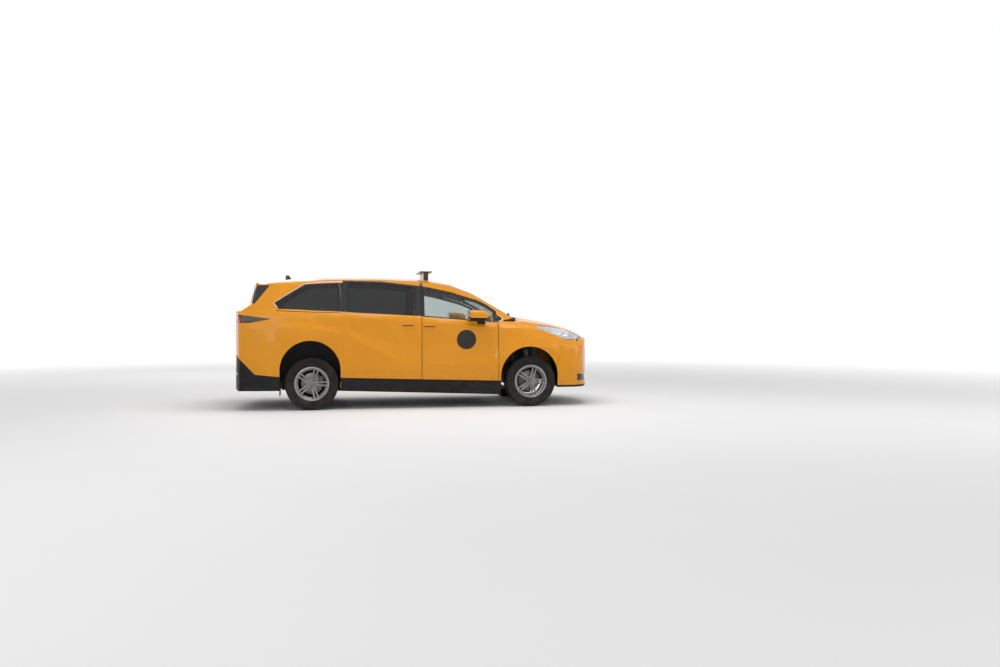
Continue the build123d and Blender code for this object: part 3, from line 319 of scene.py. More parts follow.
def metallic(name, colour, shade, roughness, grain=260.0, relief=0.1):
    """Bare or painted metal with cloudy wear."""
    material, tree, shader, place = clouded(name, colour, shade, 11.0)
    roughened(tree, shader, place, 24.0, roughness)
    shader.inputs["Metallic"].default_value = 0.9
    bump(tree, shader, noise(tree, place, grain, 3.0), relief, 0.0005)
    return material


def glazing(name, tint, shade, roughness=(0.01, 0.04)):
    """Tinted glass with a thin film of dust."""
    material, tree, shader, place = clouded(name, tint, shade, 5.0)
    roughened(tree, shader, place, 20.0, roughness)
    shader.inputs["Transmission Weight"].default_value = 1.0
    shader.inputs["IOR"].default_value = 1.45
    bump(tree, shader, noise(tree, place, 6.0, 2.0), 0.03, 0.002)
    return material


def woven(name, colour, shade, scale=700.0):
    """Carpet or headlining cloth: a fine woven relief with cloudy wear."""
    material, tree, shader, place = clouded(name, colour, shade, 6.0)
    shader.inputs["Roughness"].default_value = 0.92
    shader.inputs["Sheen Weight"].default_value = 0.25
    bump(tree, shader, cells(tree, place, scale), 0.4, 0.001)
    return material


def leathery(name, colour, shade):
    """Seat vinyl with a pebbled grain, softly polished where it is used."""
    material, tree, shader, place = clouded(name, colour, shade, 5.0)
    roughened(tree, shader, place, 9.0, (0.34, 0.56))
    bump(tree, shader, cells(tree, place, 420.0), 0.35, 0.0009)
    return material


taxi_yellow = painted("taxi_yellow_paint", (0.78, 0.305, 0.004), (0.74, 0.28, 0.003))
black_trim = moulded("black_trim_plastic", (0.008, 0.008, 0.009), (0.016, 0.0155, 0.015),
                     dust=0.06, specular=0.16)
gloss_black = moulded("gloss_black_trim", (0.010, 0.010, 0.011), (0.016, 0.016, 0.017), (0.08, 0.16),
                      grain=500.0, relief=0.03, dust=0.05, specular=0.5)
roundel_black = moulded("roundel_film", (0.022, 0.020, 0.018), (0.035, 0.030, 0.024), (0.25, 0.4),
                        grain=500.0, relief=0.04, dust=0.0)
tyre_rubber = moulded("tyre_rubber", (0.009, 0.008, 0.0075), (0.022, 0.019, 0.017), (0.6, 0.85),
                      grain=700.0, relief=0.35, dust=0.16, specular=0.16)
chassis_black = moulded("chassis_coating", (0.016, 0.016, 0.016), (0.05, 0.045, 0.04), (0.5, 0.8),
                        grain=300.0, relief=0.4, dust=0.6)
cabin_plastic = moulded("cabin_plastic", (0.045, 0.045, 0.048), (0.06, 0.06, 0.062), (0.45, 0.6),
                        grain=1100.0, relief=0.3, dust=0.0)
sign_face = moulded("roof_sign_face", (0.055, 0.05, 0.045), (0.08, 0.07, 0.06), (0.2, 0.35),
                    grain=600.0, relief=0.06, dust=0.0)
sign_panel_white = moulded("sign_panel", (0.62, 0.60, 0.55), (0.56, 0.54, 0.49), (0.2, 0.3),
                           grain=600.0, relief=0.03, dust=0.0)
light_strip = moulded("light_strip_plastic", (0.80, 0.81, 0.82), (0.74, 0.75, 0.76), (0.1, 0.2),
                      grain=500.0, relief=0.02, dust=0.0)
wheel_silver = metallic("wheel_paint", (0.27, 0.265, 0.26), (0.17, 0.165, 0.16), (0.3, 0.46))
rim_lip_metal = metallic("rim_lip_metal", (0.36, 0.35, 0.345), (0.26, 0.255, 0.25), (0.22, 0.36), 300.0, 0.05)
cast_metal = metallic("cast_metal", (0.24, 0.235, 0.23), (0.11, 0.10, 0.095), (0.45, 0.7), 180.0, 0.4)
exhaust_steel = metallic("exhaust_steel", (0.34, 0.31, 0.28), (0.18, 0.12, 0.09), (0.35, 0.6), 120.0, 0.3)
bright_trim = metallic("bright_trim", (0.78, 0.78, 0.78), (0.66, 0.66, 0.67), (0.08, 0.16), 400.0, 0.02)
mirror_silver = metallic("mirror_silver", (0.86, 0.87, 0.88), (0.82, 0.83, 0.84), (0.02, 0.04), 400.0, 0.0)
lamp_reflector = metallic("lamp_reflector", (0.78, 0.79, 0.80), (0.6, 0.61, 0.62), (0.1, 0.2), 300.0, 0.05)
dark_glass = glazing("dark_glass", (0.10, 0.105, 0.11), (0.13, 0.13, 0.135))
clear_glass = glazing("clear_glass", (0.62, 0.68, 0.66), (0.66, 0.71, 0.69))
lamp_glass = glazing("lamp_glass", (0.93, 0.94, 0.95), (0.88, 0.89, 0.90))
red_glass = glazing("red_lamp_glass", (0.62, 0.012, 0.012), (0.50, 0.008, 0.010), (0.03, 0.08))
seat_vinyl = leathery("seat_vinyl", (0.055, 0.055, 0.058), (0.08, 0.078, 0.076))
headlining = woven("headlining_cloth", (0.26, 0.255, 0.245), (0.32, 0.315, 0.30), 900.0)
carpet = woven("floor_carpet", (0.022, 0.022, 0.023), (0.045, 0.043, 0.041))


# Stage, light and camera

floor_size = 80.0
sweep_start, sweep_end = 4.5, 16.0
fill_strength = 0.42
lamp_aim = Vector((0.0, 0.0, 0.8))
# Square lamps: name, place, side in metres, power in watts
lamps = (
    ("overhead_lamp", (0.5, -1.5, 7.0), 6.0, 300.0),
    ("side_lamp", (-5.0, -9.0, 4.5), 5.0, 110.0),
    ("front_lamp", (8.0, -5.0, 4.0), 4.0, 90.0),
    ("back_lamp", (-4.0, 9.0, 5.0), 5.0, 130.0),
)


def lay_floor():
    """A pale floor that keeps the shadow and runs out into plain white."""
    deselect()
    bpy.ops.mesh.primitive_plane_add(size=floor_size)
    floor = bpy.context.object
    floor.name = "floor"
    material, tree, shader, place = plain_material("pale_floor")
    cloudy = mixed(tree, clouds(tree, place, 0.8), (0.93, 0.93, 0.93), (0.91, 0.91, 0.915))
    tree.links.new(cloudy, shader.inputs["Base Color"])
    shader.inputs["Roughness"].default_value = 0.85
    far = fed(tree, "VectorMath", {0: place})
    far.operation = "LENGTH"
    share = spread(tree, far.outputs["Value"], 0.0, 1.0, sweep_start, sweep_end)
    sweep = tree.nodes.new("ShaderNodeEmission")
    blend = fed(tree, "MixShader", {"Fac": share, 1: shader.outputs["BSDF"], 2: sweep.outputs["Emission"]})
    tree.links.new(blend.outputs["Shader"], tree.nodes["Material Output"].inputs["Surface"])
    floor.data.materials.append(material)


def light_surround():
    """White where the surround is seen, mirrored or looked through, and a softer fill light elsewhere."""
    world = bpy.data.worlds.new("surround")
    bpy.context.scene.world = world
    world.use_nodes = True
    tree = world.node_tree
    seen = tree.nodes["Background"]
    fill = tree.nodes.new("ShaderNodeBackground")
    for background, strength in ((seen, 1.0), (fill, fill_strength)):
        background.inputs["Color"].default_value = (1.0, 1.0, 1.0, 1.0)
        background.inputs["Strength"].default_value = strength
    path = tree.nodes.new("ShaderNodeLightPath")
    either = path.outputs["Is Camera Ray"]
    for ray in ("Is Glossy Ray", "Is Transmission Ray"):
        either = combined(tree, "MAXIMUM", either, path.outputs[ray])
    blend = fed(tree, "MixShader", {"Fac": either, 1: fill.outputs[0], 2: seen.outputs[0]})
    tree.links.new(blend.outputs[0], tree.nodes["World Output"].inputs["Surface"])


def hang_lamps():
    """Soft square lamps that look at the middle of the cab."""
    for name, place, size, power in lamps:
        deselect()
        bpy.ops.object.light_add(type="AREA", location=place)
        lamp = bpy.context.object
        lamp.name = name
        lamp.data.shape = "SQUARE"
        lamp.data.size = size
        lamp.data.energy = power
        lamp.rotation_euler = (lamp_aim - Vector(place)).to_track_quat("-Z", "Y").to_euler()


def place_camera():
    """The camera at the photograph's place and angle."""
    deselect()
    bpy.ops.object.camera_add(location=camera_place)
    camera = bpy.context.object
    camera.name = "photograph_camera"
    camera.rotation_euler = (radians(90.0 + camera_pitch), 0.0, radians(-camera_yaw))
    camera.data.lens = camera_lens
    camera.data.sensor_width = camera_sensor
    bpy.context.scene.camera = camera


bpy.context.scene.view_settings.view_transform = "Standard"
lay_floor()
light_surround()
hang_lamps()
place_camera()


# Thin layers that follow a rigid piece

def select_faces(obj, wanted):
    """Only the faces for which wanted(face) is true are selected."""
    bpy.context.tool_settings.mesh_select_mode = (False, False, True)
    for part in (obj.data.vertices, obj.data.edges):
        for item in part:
            item.select = False
    for face in obj.data.polygons:
        face.select = wanted(face)


def keep_faces(obj, wanted):
    """Only the faces for which wanted(face) is true stay."""
    select_faces(obj, lambda face: not wanted(face))
    pick(obj)
    bpy.ops.object.mode_set(mode="EDIT")
    bpy.ops.mesh.delete(type="FACE")
    end_edit()


def side_view(across, height):
    """The point at this place and height in side view."""
    return Vector((across, 0.0, height))


def rear_view(across, height):
    """The point at this place and height in rear view."""
    return Vector((0.0, across, height))


def layer(name, node, outline, facing, material, wall=0.0015, view=side_view, share=None):
    """A film over the faces of a piece that look along facing, inside a convex outline in metres.

    Where share is given, share(point) says how much of the wall's thickness is there, from 0 to 1.
    """
    obj = welded(node, name)
    corners = [view(*point) for point in outline]
    middle = sum(corners, Vector()) / len(corners)
    sight = Vector((0.0, 1.0, 0.0)) if view is side_view else Vector((1.0, 0.0, 0.0))
    for start, end in zip(corners, corners[1:] + corners[:1]):
        normal = (end - start).cross(sight).normalized()
        if normal.dot(middle - start) > 0:
            normal.negate()
        edit_all(obj)
        bpy.ops.mesh.bisect(plane_co=start, plane_no=normal, clear_outer=True)
        end_edit()
    if facing:
        look = Vector(facing)
        keep_faces(obj, lambda face: face.normal.dot(look) > 0.4)
    solid = obj.modifiers.new("wall", "SOLIDIFY")
    solid.thickness = wall
    solid.offset = 1.0
    if share:
        group = obj.vertex_groups.new(name="wall")
        for vertex in obj.data.vertices:
            group.add([vertex.index], share(vertex.co), "REPLACE")
        solid.vertex_group = "wall"
        solid.thickness_vertex_group = 0.02
    apply_modifiers(obj)
    smooth(obj, 30)
    return finished(obj, body_of(node), material)


def millimetres(points):
    """Points given in millimetres, in metres."""
    return [tuple(value / 1000.0 for value in point) for point in points]


def both_sides(half):
    """A rear-view outline from its left half, which is given from one end to the other."""
    return half + [(-y, z) for y, z in reversed(half)]


def surface_of(*nodes):
    """A tree of the faces of these pieces, to find the place of trims on them."""
    corners = []
    faces = []
    for node in nodes:
        mesh = frame["nodes"][node].data
        start = len(corners)
        corners.extend(vertex.co.copy() for vertex in mesh.vertices)
        faces.extend([start + index for index in face.vertices] for face in mesh.polygons)
    return BVHTree.FromPolygons(corners, faces)


def onto(surface, start, direction):
    """The first point of the surface from start along direction."""
    return surface.ray_cast(Vector(start), Vector(direction))[0]


def from_side(surface, x, z, sign):
    """The outermost point of the surface at x and z on this side, in metres, or None."""
    return onto(surface, (x, sign * 2.0, z), (0.0, -sign, 0.0))


def bead(name, points, radius, material, body="body"):
    """A thin round moulding along the points."""
    curve = bpy.data.curves.new(name, "CURVE")
    curve.dimensions = "3D"
    curve.bevel_depth = radius
    curve.bevel_resolution = 3
    curve.use_fill_caps = True
    line = curve.splines.new("POLY")
    line.points.add(len(points) - 1)
    for point, place in zip(line.points, points):
        point.co = (*place, 1.0)
    obj = linked(name, curve)
    pick(obj)
    bpy.ops.object.convert(target="MESH")
    smooth(obj)
    return finished(obj, body, material)


def along(points, step=0.03):
    """Points every step or less along the straight runs between the given ones."""
    out = [Vector(points[0])]
    for start, end in zip(points, points[1:]):
        start, end = Vector(start), Vector(end)
        count = max(1, int((end - start).length / step))
        out.extend(start.lerp(end, number / count) for number in range(1, count + 1))
    return out


def side_bead(name, surface, points, sign, radius, material, body="body"):
    """A moulding on the body's side along side-view points in millimetres."""
    places = along([side_view(*point) for point in millimetres(points)])
    hits = [from_side(surface, place.x, place.z, sign) for place in places]
    return bead(name, [hit for hit in hits if hit], radius, material, body)


# Body panels
sides = {"right": -1, "left": 1}
painted_panels = [f"{kind}_{side}" for kind in ("front_door", "sliding_door", "body_side") for side in sides]
for node in painted_panels + ["roof_panel", "fenders", "bonnet", "front_bumper", "tailgate"]:
    panel(node, taxi_yellow)
for node in ("mirror_right", "mirror_left"):
    rounded(node, taxi_yellow)
for node in ("rear_bumper", "front_lip", "side_skirts", "cowl_panel", "arch_liners", "door_seals"):
    panel(node, black_trim)
for node in ("grilles", "roof_fin"):
    panel(node, gloss_black, width=0.001)
panel("roof_sign", sign_face, width=0.004)
for node in ("dashboard", "steering_wheel"):
    panel(node, cabin_plastic, width=0.006)
panel("seat_bases", cabin_plastic, width=0.004)

plain_finishes = (
    (clear_glass, ("front_door_glass_right", "front_door_glass_left", "windscreen")),
    (dark_glass, ("sliding_door_glass", "quarter_glass", "tailgate_glass")),
    (lamp_reflector, ("headlamp_housings",)),
    (lamp_glass, ("headlamp_lenses",)),
    (red_glass, ("tailgate_lamps", "tail_lamps")),
    (carpet, ("floor_pan",)),
    (cast_metal, ("knuckle_right", "knuckle_left", "engine_block")),
    (chassis_black, ("front_frame", "front_subframe", "radiator_frame", "rear_axle")),
    (exhaust_steel, ("exhaust",)),
)
for material, nodes in plain_finishes:
    for node in nodes:
        for slot in frame["nodes"][node].material_slots:
            slot.material = material

# Window frames, roundels and linings
front_frame = millimetres([(-10, 1283), (1100, 1199), (1100, 1800), (-10, 1800)])
sliding_frame = millimetres([(-1078, 1342), (-1, 1289), (-1, 1800), (-1078, 1800)])
rear_pillar = millimetres([(-1151, 1348), (-1079, 1344), (-1079, 1752), (-1151, 1745)])
centre_pillar = millimetres([(-9, 1283), (26, 1283), (26, 1760), (-9, 1760)])
tail_corner = millimetres([(-2330, 1456), (-2262, 1456), (-2065, 1712), (-2235, 1712)])
whole = millimetres([(-2600, 100), (2600, 100), (2600, 2000), (-2600, 2000)])
roundel_x, roundel_z, roundel_radius = 633, 959, 138
roundel_steps = 32
roundel = millimetres([
    (roundel_x + roundel_radius * cos(2 * pi * step / roundel_steps),
     roundel_z + roundel_radius * sin(2 * pi * step / roundel_steps))
    for step in range(roundel_steps)
])
lining_wall = 0.003
for side, sign in sides.items():
    out, back = (0.0, sign, 0.0), (0.0, -sign, 0.0)
    for name, kind, outline in (
        ("front_door_frame", "front_door", front_frame),
        ("sliding_door_frame", "sliding_door", sliding_frame),
        ("rear_pillar", "body_side", rear_pillar),
        ("centre_pillar", "body_side", centre_pillar),
        ("tail_corner", "body_side", tail_corner),
    ):
        layer(f"{name}_{side}", f"{kind}_{side}", outline, out, gloss_black)
    layer(f"roundel_{side}", f"front_door_{side}", roundel, out, roundel_black, wall=0.0008)
    for name, kind in (("front_door", "front_door"), ("sliding_door", "sliding_door"), ("body", "body_side")):
        layer(f"{name}_lining_{side}", f"{kind}_{side}", whole, back, cabin_plastic, lining_wall)
layer("roof_lining", "roof_panel", whole, (0.0, 0.0, -1.0), headlining, lining_wall)
layer("tailgate_lining", "tailgate", whole, (1.0, 0.0, 0.0), cabin_plastic, lining_wall)

# Bright mouldings round the quarter window and at the foot of the windscreen pillar
quarter_line = [(-1090, 1762), (-1330, 1757), (-1604, 1730), (-2011, 1468), (-1948, 1377)]
pillar_line = [(1100, 1326), (1140, 1297), (1184, 1262), (1180, 1236), (1100, 1205)]
for side, sign in sides.items():
    surface = surface_of(f"body_side_{side}")
    side_bead(f"quarter_moulding_{side}", surface, quarter_line, sign, 0.0055, bright_trim)
    side_bead(f"pillar_moulding_{side}", surface, pillar_line, sign, 0.005, bright_trim)


# Tyres and wheels

tread_segments = 90
block_height = 0.0062
block_gap = 0.0022
# Ribs of tread blocks, as shares of half the tyre's width
ribs = ((0.70, 0.86), (0.30, 0.62), (-1.0, 0.16))

lip_inner, lip_outer, lip_y, lip_depth = 0.2145, 0.2325, -0.1015, 0.003
lip_edge = 0.003

hub_face_y = -0.0845
nut_count, nut_circle, nut_radius, nut_height, nut_sink = 5, 0.0485, 0.0115, 0.016, 0.006
cap_radius, cap_height, cap_sink = 0.031, 0.014, 0.005


def first_ring(radius, y, segments):
    """A circle about the Y axis, open for editing."""
    deselect()
    bpy.ops.mesh.primitive_circle_add(vertices=segments, radius=radius, rotation=(pi / 2, 0.0, 0.0),
                                      location=(0.0, y, 0.0))
    obj = bpy.context.object
    settle(obj)
    bpy.ops.object.mode_set(mode="EDIT")
    bpy.ops.mesh.select_mode(type="EDGE")
    bpy.ops.mesh.select_all(action="SELECT")
    return obj


def next_ring(shift, growth):
    """The selected ring is drawn out along Y to a new one, which grows about the axis."""
    bpy.ops.mesh.extrude_edges_move(TRANSFORM_OT_translate={"value": (0.0, shift, 0.0)})
    bpy.ops.transform.resize(value=(growth, 1.0, growth), center_override=(0.0, 0.0, 0.0))


def tyre_shape():
    """A tyre about the origin, its axle along Y: ribs and side walls by drawn rings, then tread blocks."""
    half = tyre_width / 2
    tread = tyre_radius - 0.007
    # Share of the half width, and radius
    section = [
        (0.80, 0.2170), (0.815, 0.2350), (0.90, 0.2400), (0.965, 0.2620), (1.0, 0.2900), (0.985, 0.3130),
        (0.995, 0.3160), (0.955, 0.3340), (0.905, 0.3455), (0.86, tread - 0.003),
        (0.70, tread - 0.0005), (0.66, tread - 0.0055), (0.62, tread), (0.30, tread + 0.0005),
        (0.26, tread - 0.0060), (0.20, tread - 0.0060), (0.16, tread + 0.0005), (0.0, tread + 0.0005),
    ]
    outline = section + [(-share, radius) for share, radius in reversed(section[:-1])]
    obj = first_ring(outline[0][1], outline[0][0] * half, tread_segments)
    for (share, radius), (next_share, next_radius) in zip(outline, outline[1:]):
        next_ring((next_share - share) * half, next_radius / radius)
    bpy.ops.mesh.select_all(action="SELECT")
    bpy.ops.mesh.normals_make_consistent(inside=False)
    end_edit()

    def on_rib(face):
        across = abs(face.center.y) / half
        radius = (face.center.x ** 2 + face.center.z ** 2) ** 0.5
        return radius > tread - 0.004 and any(start < across < end for start, end in ribs)

    select_faces(obj, on_rib)
    bpy.ops.object.mode_set(mode="EDIT")
    bpy.ops.mesh.inset(thickness=block_gap, depth=0.0, use_individual=True)
    bpy.ops.mesh.extrude_region_shrink_fatten(TRANSFORM_OT_shrink_fatten={"value": block_height})
    end_edit()
    smooth(obj, 38)
    return obj


def lip_shape():
    """The flat bright ring of a rim's edge, about the Y axis, with a rounded outer face."""
    obj = first_ring(lip_inner, lip_y, 72)
    last = lip_inner
    for radius, shift in (
        (lip_inner + lip_edge, -lip_depth), (lip_outer - lip_edge, 0.0), (lip_outer, lip_depth * 0.6),
        (lip_inner, lip_depth * 0.4),
    ):
        next_ring(shift, radius / last)
        last = radius
    end_edit()
    edit_all(obj)
    bpy.ops.mesh.remove_doubles(threshold=0.00002)
    bpy.ops.mesh.normals_make_consistent(inside=False)
    end_edit()
    smooth(obj, 40)
    return obj


def stub(vertices, radius, height, place, width, segments):
    """A short cylinder along Y with rounded edges."""
    deselect()
    bpy.ops.mesh.primitive_cylinder_add(vertices=vertices, radius=radius, depth=height,
                                        rotation=(pi / 2, 0.0, 0.0), location=place)
    obj = bpy.context.object
    bevelled(obj, width, segments)
    return obj


def wheel_nuts():
    """Nuts and a domed cap about the Y axis, on the hub's outer face."""
    nuts = []
    for number in range(nut_count):
        turn = 2 * pi * (number + 0.5) / nut_count
        place = (nut_circle * sin(turn), hub_face_y - nut_sink, nut_circle * cos(turn))
        nuts.append(stub(6, nut_radius, nut_height, place, 0.002, 2))
    cap = stub(40, cap_radius, cap_height, (0.0, hub_face_y - cap_sink, 0.0), 0.005, 4)
    deselect()
    for obj in nuts + [cap]:
        obj.select_set(True)
    bpy.context.view_layer.objects.active = cap
    bpy.ops.object.join()
    settle(cap)
    smooth(cap, 35)
    return cap


def placed_copy(shape, name, place, mirrored=False):
    """A copy of a shape made at the origin, with its own mesh, at a place."""
    obj = linked(name, shape.data.copy())
    turn = Matrix.Diagonal((1.0, -1.0, 1.0, 1.0)) if mirrored else Matrix.Identity(4)
    obj.data.transform(Matrix.Translation(place) @ turn)
    if mirrored:
        obj.data.flip_normals()
    return obj


tyre = tyre_shape()
lip = lip_shape()
nuts = wheel_nuts()
for (axle, side), centre in wheel_centre.items():
    body = f"wheel_{axle}_{side}"
    mirrored = side == "left"
    copy = placed_copy(tyre, f"tread_{axle}_{side}", centre)
    finished(copy, body, tyre_rubber)
    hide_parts(f"tyre_{axle}_{side}")
    panel(f"rim_{axle}_{side}", wheel_silver, width=0.0015, angle=35)
    finished(placed_copy(lip, f"rim_lip_{axle}_{side}", centre, mirrored), body, rim_lip_metal)
    finished(placed_copy(nuts, f"wheel_nuts_{axle}_{side}", centre, mirrored), body, cast_metal)
for shape in (tyre, lip, nuts):
    bpy.data.objects.remove(shape)


# Seats

pad_cap = 0.012
pad_cell = 0.011
pad_inset = 0.007
pad_pressure = 4.0
swelling_frames = 20
# Pads wider than this are sewn, the channels at this share of the width from the middle
sewn_width = 0.35
channel_place, channel_depth, channel_half = 0.21, 0.007, 0.008


def inflated(obj):
    """The pad swells as stuffed vinyl does, no point by more than the cap."""
    start = [vertex.co.copy() for vertex in obj.data.vertices]
    cloth = obj.modifiers.new("stuffing", "CLOTH")
    cloth.settings.use_pressure = True
    cloth.settings.uniform_pressure_force = pad_pressure
    cloth.settings.effector_weights.gravity = 0.0
    scene = bpy.context.scene
    for number in range(1, swelling_frames + 1):
        scene.frame_set(number)
    apply_modifiers(obj)
    scene.frame_set(1)
    for vertex, before in zip(obj.data.vertices, start):
        shift = vertex.co - before
        if shift.length > pad_cap:
            vertex.co = before + shift.normalized() * pad_cap


def sewn(obj):
    """Two sewn channels run down the pad."""
    across = [vertex.co.y for vertex in obj.data.vertices]
    middle = (min(across) + max(across)) / 2
    reach = (max(across) - min(across)) * channel_place
    for vertex in obj.data.vertices:
        inward = Vector((vertex.normal.x, 0.0, vertex.normal.z))
        away = [(vertex.co.y - y) / channel_half for y in (middle - reach, middle + reach)]
        vertex.co -= inward * sum(channel_depth * exp(-distance ** 2) for distance in away)


pad_shapes = {}


def seat_pads(node):
    """Each pad of a seat is its own stuffed piece. Pads of one size share one simulated shape."""
    seat = welded(node, node + "_pads")
    edit_all(seat)
    bpy.ops.mesh.separate(type="LOOSE")
    end_edit()
    pads = sorted(bpy.context.selected_objects, key=lambda obj: obj.name)
    for number, obj in enumerate(pads, start=1):
        corners = [Vector(corner) for corner in obj.bound_box]
        middle = sum(corners, Vector()) / 8
        size = tuple(round(value, 3) for value in obj.dimensions)
        if size in pad_shapes:
            mesh, first_middle = pad_shapes[size]
            obj.data = mesh.copy()
            obj.data.transform(Matrix.Translation(middle - first_middle))
        else:
            edit_all(obj)
            bpy.ops.transform.shrink_fatten(value=-pad_inset)
            end_edit()
            evenly_meshed(obj, pad_cell)
            inflated(obj)
            if obj.dimensions.y > sewn_width:
                sewn(obj)
            pad_shapes[size] = (obj.data.copy(), middle)
        obj.name = f"{node}_pad_{number}"
        smooth(obj)
        finished(obj, "body", seat_vinyl)
        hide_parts(node)


for node in ("front_seats", "middle_seats", "rear_bench"):
    seat_pads(node)


# Small pieces

def block(name, centre, size, material, body="body", edge=0.004, turn=(0.0, 0.0, 0.0), taper=1.0):
    """A moulded block with round edges, its top narrowed by taper."""
    deselect()
    bpy.ops.mesh.primitive_cube_add(size=1.0)
    obj = bpy.context.object
    obj.name = name
    obj.scale = size
    bpy.ops.object.transform_apply(scale=True)
    for vertex in obj.data.vertices:
        if vertex.co.z > 0:
            vertex.co.x *= taper
            vertex.co.y *= taper
    bevelled(obj, edge, 3, "NONE")
    obj.rotation_euler = [radians(angle) for angle in turn]
    obj.location = centre
    settle(obj)
    smooth(obj, 35)
    return finished(obj, body, material)


def widened(points, step):
    """A convex outline with every side moved out by step."""
    corners = [Vector(point) for point in points]
    middle = sum(corners, Vector((0.0, 0.0))) / len(corners)
    lines = []
    for start, end in zip(corners, corners[1:] + corners[:1]):
        out = Vector((end.y - start.y, start.x - end.x)).normalized()
        if out.dot(start - middle) < 0:
            out.negate()
        lines.append((out, out.dot(start) + step))
    grown = []
    for (first, reach), (second, next_reach) in zip(lines[-1:] + lines[:-1], lines):
        cross = first.x * second.y - first.y * second.x
        grown.append(((reach * second.y - next_reach * first.y) / cross,
                      (next_reach * first.x - reach * second.x) / cross))
    return grown


def aimed(name, centre, direction, material, body="body"):
    """The shape just made gets its name, its place, its Z axis along direction, and its finish."""
    obj = bpy.context.object
    obj.name = name
    obj.rotation_euler = Vector(direction).to_track_quat("Z", "Y").to_euler()
    obj.location = centre
    settle(obj)
    smooth(obj)
    return finished(obj, body, material)


def dome(name, centre, radius, depth, direction, material):
    """A round lens bulging along direction."""
    deselect()
    bpy.ops.mesh.primitive_uv_sphere_add(segments=32, ring_count=16, radius=radius)
    for vertex in bpy.context.object.data.vertices:
        vertex.co.z *= depth / radius if vertex.co.z > 0 else 0.15
    return aimed(name, centre, direction, material)


def hoop(name, centre, radius, thickness, direction, material, body="body"):
    """A round bezel about direction."""
    deselect()
    bpy.ops.mesh.primitive_torus_add(major_radius=radius, minor_radius=thickness, major_segments=48,
                                     minor_segments=10)
    for vertex in bpy.context.object.data.vertices:
        vertex.co.z *= 1.6
    return aimed(name, centre, direction, material, body)


# Seals round the windows, outlines in millimetres
front_window = [(48, 1294), (1044, 1213), (1044, 1352), (924, 1425), (793, 1482), (447, 1577), (48, 1663)]
sliding_window = [(-1004, 1351), (-85, 1302), (-85, 1684), (-560, 1732), (-1004, 1743)]
quarter_window = [(-1935, 1387), (-1150, 1360), (-1150, 1742), (-1590, 1716), (-1993, 1465)]
window_seals = (
    ("front", front_window, "front_door"),
    ("sliding", sliding_window, "sliding_door"),
    ("quarter", quarter_window, "body_side"),
)
seal_step = 6
for side, sign in sides.items():
    for kind, points, carrier in window_seals:
        node = f"{carrier}_{side}"
        ring = widened(points, seal_step)
        side_bead(f"{kind}_window_seal_{side}", surface_of(node), ring + ring[:1], sign, 0.0045, tyre_rubber,
                  body_of(node))

# Door handles: a dark strip of painted shadow under each bar, in millimetres from the bar's middle
shadow_half, shadow_low, shadow_high = 78, -27, -16
for side, sign in sides.items():
    for kind, handle_x, handle_z in (("front_door", 112, 1164), ("sliding_door", -195, 1178)):
        back_x, front_x = handle_x - shadow_half, handle_x + shadow_half
        low_z, high_z = handle_z + shadow_low, handle_z + shadow_high
        shadow_outline = millimetres([(back_x, low_z), (front_x, low_z), (front_x, high_z), (back_x, high_z)])
        # The thin black film under the bar is painted shadow, where the bar shades the door
        layer(f"{kind}_handle_recess_{side}", f"{kind}_{side}", shadow_outline, (0.0, sign, 0.0), gloss_black, 0.001)

# Mirrors: a black lower shell, and glass with a rim round it
mirror_shell = millimetres([(560, 1180), (1000, 1180), (1000, 1258), (560, 1266)])
glass_y, glass_z = 1.072, 1.292
glass_size = (0.006, 0.205, 0.124)
rim_half_width, rim_half_height, rim_squareness = 0.106, 0.065, 1.35
rim_steps = 32


def squared(value):
    """A sine or cosine stretched and cut off, for a round outline with straight sides."""
    return max(-1.0, min(1.0, rim_squareness * value))


for side, sign in sides.items():
    mirror = f"mirror_{side}"
    body = body_of(mirror)
    layer(f"mirror_base_{side}", mirror, mirror_shell, None, black_trim, 0.0006)
    back_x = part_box(mirror)[0].x
    middle = (back_x - 0.0005, sign * glass_y, glass_z)
    block(f"mirror_glass_{side}", middle, glass_size, mirror_silver, body, 0.0028)
    turns = [2 * pi * step / rim_steps for step in range(rim_steps + 1)]
    rim = [
        (back_x - 0.001, sign * glass_y + squared(cos(turn)) * rim_half_width,
         glass_z + squared(sin(turn)) * rim_half_height)
        for turn in turns
    ]
    bead(f"mirror_rim_{side}", rim, 0.0035, black_trim, body)

# Wipers, from above: pivot, elbow and the two ends of the blade, millimetres
windscreen_surface = surface_of("windscreen", "cowl_panel", "bonnet")
screen_out = Vector((0.4, 0.0, 0.9))
blade_steps = 12
blade_lift, foot_lift, shoulder_lift, elbow_lift, pivot_lift = 0.012, 0.006, 0.022, 0.026, 0.010
spine_shift = Vector((0.004, 0.0, 0.008))


def on_windscreen(x, y, lift):
    """The point above the windscreen or cowl at x and y, in millimetres, lifted off the surface."""
    return onto(windscreen_surface, (x / 1000.0, y / 1000.0, 3.0), (0.0, 0.0, -1.0)) + screen_out * lift


for name, pivot, elbow, start, end in (
    ("left", (1372, 560), (1352, 330), (1322, 590), (1392, 30)),
    ("right", (1408, -60), (1368, -280), (1400, -20), (1318, -560)),
):
    line = [Vector(start).lerp(Vector(end), step / blade_steps) for step in range(blade_steps + 1)]
    blade = [on_windscreen(*place, blade_lift) for place in line]
    bead(f"wiper_blade_{name}", blade, 0.0055, tyre_rubber)
    bead(f"wiper_spine_{name}", [place + spine_shift for place in blade[1:-1]], 0.004, black_trim)
    foot, shoulder = on_windscreen(*pivot, foot_lift), on_windscreen(*pivot, shoulder_lift)
    arm = [foot, shoulder, on_windscreen(*elbow, elbow_lift), blade[blade_steps // 2]]
    bead(f"wiper_arm_{name}", arm, 0.006, black_trim)
    hoop(f"wiper_pivot_{name}", on_windscreen(*pivot, pivot_lift), 0.014, 0.006, screen_out, black_trim)

